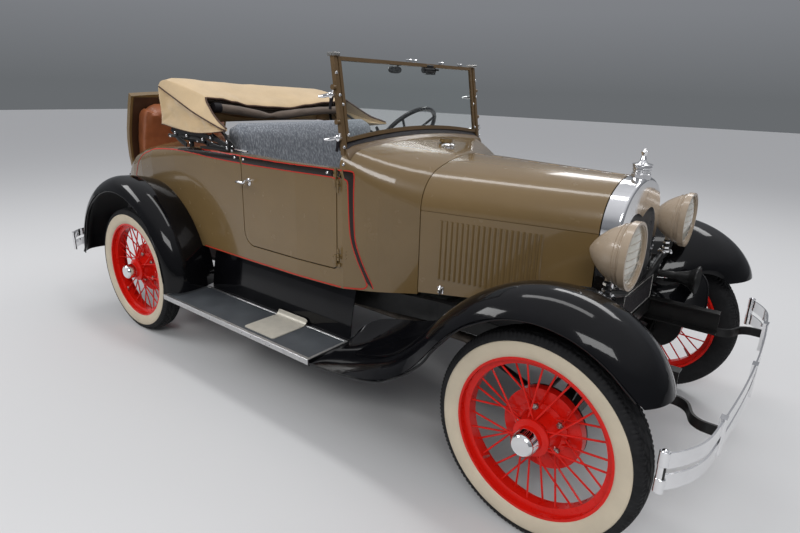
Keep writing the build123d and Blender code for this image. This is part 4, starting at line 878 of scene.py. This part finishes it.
Form().block(*spots((68, -190, 640), (71, 190, 745)), 0.001).piece("number_plate", seal_rubber)
plate_edge = Form()
corners = spots(*((71.5, y, z) for y, z in ((-188, 642), (188, 642), (188, 743), (-188, 743), (-188, 642))))
for a, b in zip(corners, corners[1:]):
    plate_edge.tube([a, b], 0.0022, 8)
plate_edge.piece("plate_edge", steel)

barrels, spacers = Form(), Form()
BARREL = [(0, 0.0), (0, 0.013), (0.002, 0.0148), (0.045, 0.0148), (0.047, 0.013), (0.047, 0)]
for place in ((401, -791), (401, 791)):
    for z in (413, 500):
        barrels.turned(BARREL, spot(*place, z), UP, 28)
    spacers.turned([(0, 0.0), (0, 0.011), (0.040, 0.011), (0.040, 0)], spot(*place, 460), UP)
    barrels.bolt(spot(*place, 546.5), UP, 0.009, 0.006)
barrels.piece("bumper_barrels", chrome)
spacers.piece("bumper_spacers", frame_black)


# Straps and bolts of the top's irons

iron_bolts = Form()
irons = surface("top_irons")
for x, z in ((-1830, 1172), (-1905, 1172), (-2010, 1176), (-2060, 1176), (-2140, 1176), (-2224, 1160),
             (-2330, 1178), (-2420, 1182)):
    point, normal, _, _ = irons.ray_cast(spot(x, -2000, z), -OUT)
    if point is not None and point.y < -0.4:
        iron_bolts.bolt(point, normal, 0.0075, 0.006)
iron_bolts.twin().piece("iron_bolts", chrome)


def strap(form, width, y, thick, places):
    """A flat bar along (x, z) places in the side view, outside the irons; its measures are in millimetres."""
    line = path([(x, y, z) for x, z in places], 0.012)
    rows = []
    for number, point in enumerate(line):
        ahead = heading(line, number)
        across = Vector((-ahead.z, 0, ahead.x)) * width / 2000
        across *= 1 - 0.25 * abs(2 * number / (len(line) - 1) - 1) ** 6
        rows.append([point + OUT * thick / 1000 * out + across * way
                     for out, way in ((0, -1), (0.7, -1), (1, -0.8), (1, 0.8), (0.7, 1), (0, 1))])
    form.grid(rows, close_columns=True, caps=True)


links, pivots = Form(), Form()
for measures, places in (
        ((26, -571, 6), ((-2372, 1222), (-2330, 1206), (-2250, 1198), (-2160, 1196), (-2079, 1190),
                         (-2007, 1171), (-1927, 1158), (-1830, 1156))),
        ((24, -577, 6), ((-2350, 1214), (-2240, 1218), (-2120, 1216), (-1990, 1206), (-1900, 1190),
                         (-1825, 1168))),
        ((34, -565, 10), ((-2366, 1224), (-2300, 1222), (-2204, 1226), (-2100, 1226))),
        ((30, -571, 6), ((-2330, 1190), (-2280, 1168), (-2230, 1150))),
        ((24, -571, 6), ((-2120, 1214), (-2060, 1186), (-2010, 1158))),
        ((26, -565, 6), ((-1990, 1218), (-1930, 1190), (-1880, 1160))),
        ((24, -577, 6), ((-1860, 1230), (-1836, 1196), (-1822, 1158))),
        ((14, -577, 6), ((-2085, 1150), (-1990, 1152), (-1850, 1152)))):
    strap(links, *measures, places)
for x, z, y in ((-2323, 1208, -577), (-2210, 1200, -577), (-1977, 1206, -583), (-1834, 1194, -583),
                (-1837, 1165, -583), (-2060, 1190, -577)):
    links.turned([(0, 0.0), (0, 0.017), (0.005, 0.017), (0.007, 0.014), (0.007, 0)], spot(x, y + 2, z), OUT)
    pivots.bolt(spot(x, y - 5, z), OUT, 0.0075, 0.005)
for places in (((-1818, -566, 1163), (-1760, -566, 1161), (-1700, -566, 1158)),
               ((-1990, -566, 1212), (-1965, -566, 1203))):
    pivots.tube(path(places), 0.0045, 8)
links.twin().piece("top_links", frame_black)
pivots.twin().piece("top_link_pivots", chrome)


# Folded top

# rows and columns of points: of the rear side, along the upper side, across it, and of half a hanging side
SIDE, LONG, WIDE, HALF = 26, 54, 96, 13
MOUTH, RIDGE = -2094, -2395  # x of the front edge and of the ridge, in mm

# (y, z) of the front edge and of the ridge
front_edge = ((-528, 1401), (-436, 1396), (-347, 1380), (-253, 1360), (-89, 1351), (47, 1345), (192, 1362),
              (346, 1377), (444, 1381), (528, 1392))
ridge = ((-571, 1484), (-517, 1494), (-463, 1494), (-293, 1483), (-42, 1470), (240, 1465), (525, 1457),
         (571, 1452))

# edges and seam of the right hanging side
side_bottom = ((-1796, -610, 1252), (-1862, -606, 1244), (-1925, -605, 1236), (-2006, -605, 1228),
               (-2122, -605, 1224), (-2295, -602, 1237), (-2413, -594, 1249), (-2440, -590, 1247))
side_front = ((-1796, -610, 1252), (-1803, -608, 1262), (-1842, -598, 1275), (-1905, -583, 1295),
              (-1968, -569, 1327), (-2016, -555, 1356), (-2058, -542, 1381), (-2085, -528, 1401))
side_rear = ((-2440, -590, 1247), (-2428, -591, 1300), (-2432, -591, 1350), (-2445, -587, 1400),
             (-2462, -577, 1452))
side_seam = ((-1797, -610, 1254), (-1862, -603, 1262), (-1992, -595, 1293), (-2127, -590, 1331),
             (-2300, -583, 1392), (-2380, -580, 1420), (-2462, -577, 1450))


def table_value(table, key):
    """A value read between a table's (key, value) rows, smoothed."""
    if key <= table[0][0]:
        return table[0][1]
    for (a, low), (b, high) in zip(table, table[1:]):
        if key <= b:
            share = (key - a) / (b - a)
            return low + (high - low) * share * share * (3 - 2 * share)
    return table[-1][1]


def top_line(c, lift=0.0, back=0.0):
    """A lengthwise line of the top's upper side; c runs from -1 at the right to 1."""
    low = table_value(front_edge, 528 * c)
    high = table_value(ridge, 571 * c)
    edge = abs(c) ** 6
    return path([(x, half * c, z - lift) for x, half, z in (
        (MOUTH + 9 * edge - back, 528, low), (MOUTH - 18 + 6 * edge - back, 531, low + 0.13 * (high - low)),
        (-2190, 541, low + 0.42 * (high - low)), (-2300, 556, low + 0.78 * (high - low)), (RIDGE, 568, high),
        (-2440, 573, high - 8), (-2462, 577, high - 32))], 0.01)


def fitted(places, sign, start, end):
    """A smooth line over places, moved a little so that its ends meet two points."""
    line = path([(x, -sign * y, z) for x, y, z in places], 0.01)
    first, last = start - line[0], end - line[-1]
    return [point + first.lerp(last, number / (len(line) - 1)) for number, point in enumerate(line)]


def side_patch(sign):
    """Points of one hanging side: rows from its front corner to its rear one, each from below upward."""
    shoulder = top_line(sign)
    front_corner, rear_corner = spots((-1796, sign * 610, 1252), (-2440, sign * 590, 1247))
    bottom = fitted(side_bottom, sign, front_corner, rear_corner)
    front = fitted(side_front, sign, front_corner, shoulder[0])
    back_edge = fitted(side_rear, sign, rear_corner, shoulder[-1])
    seam = fitted(side_seam, sign, front_corner, shoulder[-1])
    lower = [at(bottom, n / LONG) for n in range(LONG)] + [at(back_edge, n / SIDE) for n in range(SIDE + 1)]
    upper = [at(front, n / SIDE) for n in range(SIDE)] + [at(shoulder, n / LONG) for n in range(LONG + 1)]
    count = LONG + SIDE
    patch = []
    for i in range(count + 1):
        middle = at(seam, i / count)
        row = []
        for j in range(2 * HALF + 1):
            share = abs(j - HALF) / HALF
            point = middle.lerp(lower[i] if j < HALF else upper[i], share)
            x, z = point.x, point.z
            room = min(1, 8 * min(i, count - i) / count) * min(1, 5 * share) * min(1, 5 * (1 - share))
            if j < HALF:
                crease = noise((x * 12 + z * 9, z * 22, 3.1 * sign))
                crease += 0.7 * noise((x * 26 + z * 30, z * 12, 7.7))
                fold = exp(-(((x - FRONT + 2.16) * 0.25 + (z - 1.262)) / 0.011) ** 2)
                inward = 0.022 * sin(pi * share ** 0.6) + 0.016 * crease - 0.016 * fold * (1 - share)
            else:
                inward = 0.003 * noise((x * 9, z * 9, 1.3 * sign))
            row.append(point + Vector((0, -sign * inward * room, 0)))
        patch.append(row)
    return patch


def top_patch(lift=0.0, back=0.0, reach=1.0):
    """Points of the upper side: rows from the front to the rear, each from right to left."""
    columns = []
    for j in range(WIDE + 1):
        c = 2 * j / WIDE - 1
        line = top_line(reach * c, lift, back)
        columns.append([])
        for i in range(LONG + 1):
            point = at(line, i / LONG)
            edge = min(1, 6 * min(i / LONG, 1 - i / LONG)) * min(1, 10 * (1 - abs(c)))
            fold = 0.0045 * noise((point.x * 5, point.y * 3.2, 2.4))
            fold += 0.0018 * noise((point.x * 15 + point.y * 6, point.y * 9, 8.1))
            columns[-1].append(point + UP * fold * edge)
    return [list(row) for row in zip(*columns)]


def back_patch(upper, right, left):
    """Points of the rear side: rows from the ridge down, each from right to left."""
    places = [2 * j / WIDE - 1 for j in range(WIDE + 1)]
    bottom = [spot(-2440 - 92 * (1 - c ** 4), 590 * c, 1247) for c in places]
    rows = []
    for i in range(SIDE + 1):
        r = i / SIDE
        row = []
        for j in range(WIDE + 1):
            u = j / WIDE
            point = ((1 - r) * upper[j] + r * bottom[j] + (1 - u) * right[i] + u * left[i]
                     - (1 - r) * (1 - u) * upper[0] - (1 - r) * u * upper[-1]
                     - r * (1 - u) * bottom[0] - r * u * bottom[-1])
            inside = min(1, 6 * min(u, 1 - u)) * sin(pi * r)
            point.x -= (0.020 + 0.008 * noise((point.y * 5, point.z * 12, 4.4))) * inside
            row.append(point)
        rows.append(row)
    return rows


def make_sheet(form, name, material):
    """A thin cloth piece; returns it with the cloth's own area."""
    sheet = form.piece(name, material, sharp=60)
    area = sum(face.area for face in sheet.data.polygons)
    apply_modifier(sheet, "SOLIDIFY", thickness=0.0025, offset=0)
    return sheet, area


right_side, left_side = side_patch(-1), side_patch(1)
upper = top_patch()
for i in range(LONG + 1):
    upper[i][0] = right_side[SIDE + i][-1]
    upper[i][-1] = left_side[SIDE + i][-1]
rear = back_patch(upper[-1], *([row[0] for row in patch[LONG:]][::-1] for patch in (right_side, left_side)))
cloth = Form()
for rows in (right_side, upper, left_side, rear):
    cloth.grid(rows)
folded, folded_area = make_sheet(cloth, "folded_top_cloth", canvas)
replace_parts(folded, "folded_top")

edges = Form()
for patch, sign in ((right_side, -1), (left_side, 1)):
    edges.tube([row[HALF] + Vector((0, sign * 0.002, 0.001)) for row in patch[1:-1]], 0.0040, 8)
    edges.tube([row[0] for row in patch[1:LONG + 1]], 0.0022, 8)
    edges.tube([row[-1] for row in patch[1:SIDE + 1]], 0.0050, 8)
edges.tube([p + Vector((0.002, 0, -0.001)) for p in upper[0]], 0.0055, 8)
edges.tube(rear[-1], 0.0030, 8)
edging = edges.piece("folded_top_binding", binding)

for number, (lift, back, reach) in enumerate(((16, 16, 0.975), (34, 30, 0.955))):
    layer, area = make_sheet(Form().grid(top_patch(lift, back, reach)), f"folded_layer_{number}", lining)

# the rolled lining, pinched by its strap
ROLL_X, ROLL_RADIUS, STRAP_Y = -2082, 0.0235, -0.11
rows = []
for point in path([(ROLL_X, y, z) for y, z in ((-452, 1349), (-380, 1341), (-288, 1328), (-200, 1312),
                                               (-127, 1303), (-20, 1306), (106, 1316), (280, 1326),
                                               (452, 1331))], 0.006):
    y = point.y
    pinch = 1 - 0.42 * exp(-((y - STRAP_Y) / 0.045) ** 2)
    row = []
    for angle in turns(28):
        c, s = cos(angle), sin(angle)
        wave = 1 + 0.07 * noise((c * 1.6, y * 14, s * 1.6)) + 0.05 * sin(5 * angle + y * 40) * (1 - pinch)
        radius = ROLL_RADIUS * pinch * wave
        row.append(point + Vector((radius * c * 1.05, 0, radius * s * (0.8 + 0.2 * pinch))))
    rows.append(row)
roll = Form().grid(rows, close_columns=True, caps=True).piece("rolled_lining", lining, sharp=60)
caps = Form()
for y, z, sign in ((-470, 1351, -1), (468, 1332, 1)):
    caps.turned([(-0.022, 0.0), (-0.022, 0.026), (0.010, 0.027), (0.020, 0.024), (0.022, 0)],
                spot(ROLL_X, y, z), (0, sign, 0.05), 28)
caps.piece("roll_ends", seal_rubber)

bows = Form()
for x, drop in ((-2160, 78), (-2265, 84), (-2370, 90)):
    share = (MOUTH - x) / 340
    line = [(x, y, table_value(front_edge, y) * (1 - share) + table_value(ridge, y) * share - drop)
            for y in range(-500, 501, 50)]
    bows.tube(path([(-2225, -536, 1300)] + line + [(-2225, 536, 1300)]), 0.012, 12, 1.5)
bows.piece("top_bows", bow_wood)


# Padded pieces

def solids_of(name):
    """Each separate solid of a CAD node as (vertices, faces), from the lowest up."""
    shape = bmesh.new()
    shape.from_mesh(nodes[name].data)
    bmesh.ops.remove_doubles(shape, verts=shape.verts, dist=0.000001)
    left = set(shape.verts)
    found = []
    while left:
        pile = [left.pop()]
        group = set(pile)
        while pile:
            for edge in pile.pop().link_edges:
                for vert in edge.verts:
                    if vert in left:
                        left.remove(vert)
                        group.add(vert)
                        pile.append(vert)
        order = {vert: number for number, vert in enumerate(group)}
        faces = [tuple(order[v] for v in face.verts) for face in shape.faces if face.verts[0] in group]
        found.append(([v.co.copy() for v in order], faces))
    shape.free()
    return sorted(found, key=lambda solid: min(v.z for v in solid[0]))


PUFF_FRAMES = 20
UNDER, OVER = 0.004, 0.010  # how far a cushion may stand past its solid's low and high sides


def puffed(piece, limit):
    """Swells a piece by some frames of cloth under pressure, by no more than a limit."""
    rest = [v.co.copy() for v in piece.data.vertices]
    puff = piece.modifiers.new("puff", "CLOTH")
    puff.settings.use_pressure = True
    puff.settings.uniform_pressure_force = 4
    puff.settings.effector_weights.gravity = 0
    puff.settings.tension_stiffness = 12
    puff.settings.compression_stiffness = 12
    puff.settings.shear_stiffness = 4
    puff.settings.bending_stiffness = 1.5
    puff.point_cache.frame_start = 1
    puff.point_cache.frame_end = PUFF_FRAMES
    for number in range(1, PUFF_FRAMES + 1):
        bpy.context.scene.frame_set(number)
    swollen = piece.evaluated_get(bpy.context.evaluated_depsgraph_get()).data
    moved = [v.co.copy() for v in swollen.vertices]
    piece.modifiers.remove(puff)
    bpy.context.scene.frame_set(1)
    for vertex, start, end in zip(piece.data.vertices, rest, moved):
        step = end - start
        if step.length > limit:
            step = step.normalized() * limit
        vertex.co = start + step


def stuffed(name, solid, material, voxel, limit, shrink, body="chassis", round_top=0.0, floor_flat=True):
    """A padded piece that starts from a CAD solid, shrunk a little, and swells like a filled cushion."""
    verts, faces = solid
    low = Vector([min(v[k] for v in verts) for k in range(3)])
    high = Vector([max(v[k] for v in verts) for k in range(3)])
    middle, half = (low + high) / 2, (high - low) / 2
    scaled = [[middle[k] + (v[k] - middle[k]) * (half[k] - shrink[k]) / half[k] for k in range(3)]
              for v in verts]
    piece = add_mesh(name, scaled, faces, material)
    apply_modifier(piece, "REMESH", mode="VOXEL", voxel_size=voxel)
    for vertex in piece.data.vertices:
        side = abs(vertex.co.y) - (half.y - shrink[1] - round_top)
        top = vertex.co.z - (high.z - shrink[2] - round_top)
        if round_top and side > 0 and top > 0:
            pull = max(side, top) / Vector((side, top)).length
            vertex.co.y -= (side * (1 - pull)) * (1 if vertex.co.y > 0 else -1)
            vertex.co.z -= top * (1 - pull)
    puffed(piece, limit)
    for vertex in piece.data.vertices:
        if floor_flat:
            vertex.co.z = max(vertex.co.z, low.z)
        vertex.co = Vector([min(max(vertex.co[k], low[k] - UNDER), high[k] + OVER) for k in range(3)])
    apply_modifier(piece, "SMOOTH", factor=0.6, iterations=4)
    apply_modifier(piece, "SUBSURF", levels=1)
    piece.data.shade_smooth()
    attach(piece, body)
    return piece


seat_base, seat_cushion, seat_back = solids_of("seat")
Form().add(*seat_base).piece("seat_box", pan_brown)
cushion = stuffed("seat_cushion", seat_cushion, seat_cloth, 0.013, 0.020, (0.008, 0.010, 0.010))
stuffed("seat_back", seat_back, seat_cloth, 0.013, 0.020, (0.010, 0.000, -0.008), round_top=0.060)
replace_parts(cushion, "seat")

rumble_base, rumble_pad = solids_of("rumble_cushion")
Form().add(*rumble_base).piece("rumble_seat_box", pan_brown)
pad = stuffed("rumble_pad", rumble_pad, leather, 0.012, 0.018, (0.008, 0.008, 0.010))
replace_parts(pad, "rumble_cushion")

rumble = stuffed("rumble_backrest", solids_of("rumble_back")[0], leather, 0.012, 0.016, (0.006, 0.006, 0.006),
                 "rumble_lid", 0.110, False)
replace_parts(rumble, "rumble_back")

# the pan behind the rumble seat's back follows the lid
LID_LOW, LID_HIGH, LID_HALF = 0.862, 1.372, 0.362
lid_shape = surface("rumble_lid")
rows = []
for i in range(25):
    z = LID_LOW + (LID_HIGH - LID_LOW) * i / 24
    places = [Vector((FRONT - 2.6, LID_HALF * (2 * j / 28 - 1), z)) for j in range(29)]
    rows.append([lid_shape.ray_cast(place, Vector((-1, 0, 0)))[0] + Vector((0.0025, 0, 0))
                 for place in places])
Form().shell(rows, (-0.0020, 0, 0)).piece("rumble_lid_pan", pan_brown, "rumble_lid", "khaki", 50)


# Stage

def make_stage():
    """Pale floor and backdrop, soft lamps, world light and the camera."""
    scene = bpy.context.scene
    bpy.ops.mesh.primitive_plane_add(size=60, location=(0, 0, 0))
    floor = bpy.context.object
    floor.name = "studio_ground"
    floor.data.materials.append(shader("studio_floor", (0.62, 0.62, 0.62), 0.6)[0])

    world = bpy.data.worlds.new("studio")
    scene.world = world
    world.use_nodes = True
    tree = world.node_tree
    background = tree.nodes["Background"]
    background.inputs["Strength"].default_value = 0.85
    height = wired(tree, "SeparateXYZ", Vector=wired(tree, "TexCoord").outputs["Generated"]).outputs["Z"]
    sky = ramp(tree, height, (
        (0.0, (0.16, 0.17, 0.18)), (0.12, (0.24, 0.25, 0.27)), (0.35, (0.30, 0.31, 0.33)),
        (0.6, (0.62, 0.63, 0.66)), (1.0, (0.95, 0.96, 1.0))))
    tree.links.new(sky, background.inputs["Color"])

    # place, aim, width, height, power
    lamps = (
        ((3.5, -5.5, 5.0), (0, 0, 0.6), 4.0, 1.6, 180),
        ((-4.5, -3.5, 4.5), (-0.5, 0, 0.6), 3.0, 1.2, 100),
        ((1.0, 5.0, 5.5), (0, 0, 0.8), 5.0, 1.2, 120),
        ((0.0, 0.0, 6.0), (0, 0, 0), 5.0, 0.8, 80),
    )
    for number, (place, aim, width, height, power) in enumerate(lamps):
        lamp = bpy.data.lights.new(f"lamp_{number}", "AREA")
        lamp.shape = "RECTANGLE"
        lamp.size = width
        lamp.size_y = height
        lamp.energy = power
        holder = bpy.data.objects.new(f"lamp_{number}", lamp)
        holder.location = place
        holder.rotation_euler = (Vector(aim) - Vector(place)).to_track_quat("-Z", "Y").to_euler()
        scene.collection.objects.link(holder)

    # the camera that took the photograph, fixed from the wheelbase and the track
    camera = bpy.data.cameras.new("camera")
    camera.sensor_width = 36
    camera.lens = 25.033
    holder = bpy.data.objects.new("camera", camera)
    yaw, pitch, roll = radians(128.2337), radians(17.695), radians(1.623)
    ahead = Vector((cos(yaw) * cos(pitch), sin(yaw) * cos(pitch), -sin(pitch)))
    right = Vector((sin(yaw), -cos(yaw), 0))
    up = right.cross(ahead)
    right, up = cos(roll) * right + sin(roll) * up, cos(roll) * up - sin(roll) * right
    turn = Matrix((right, up, -ahead)).transposed().to_4x4()
    holder.matrix_world = Matrix.Translation((FRONT + 0.62623, -2.27611, 1.47305)) @ turn
    scene.collection.objects.link(holder)
    scene.camera = holder
    scene.view_settings.view_transform = "Standard"


make_stage()
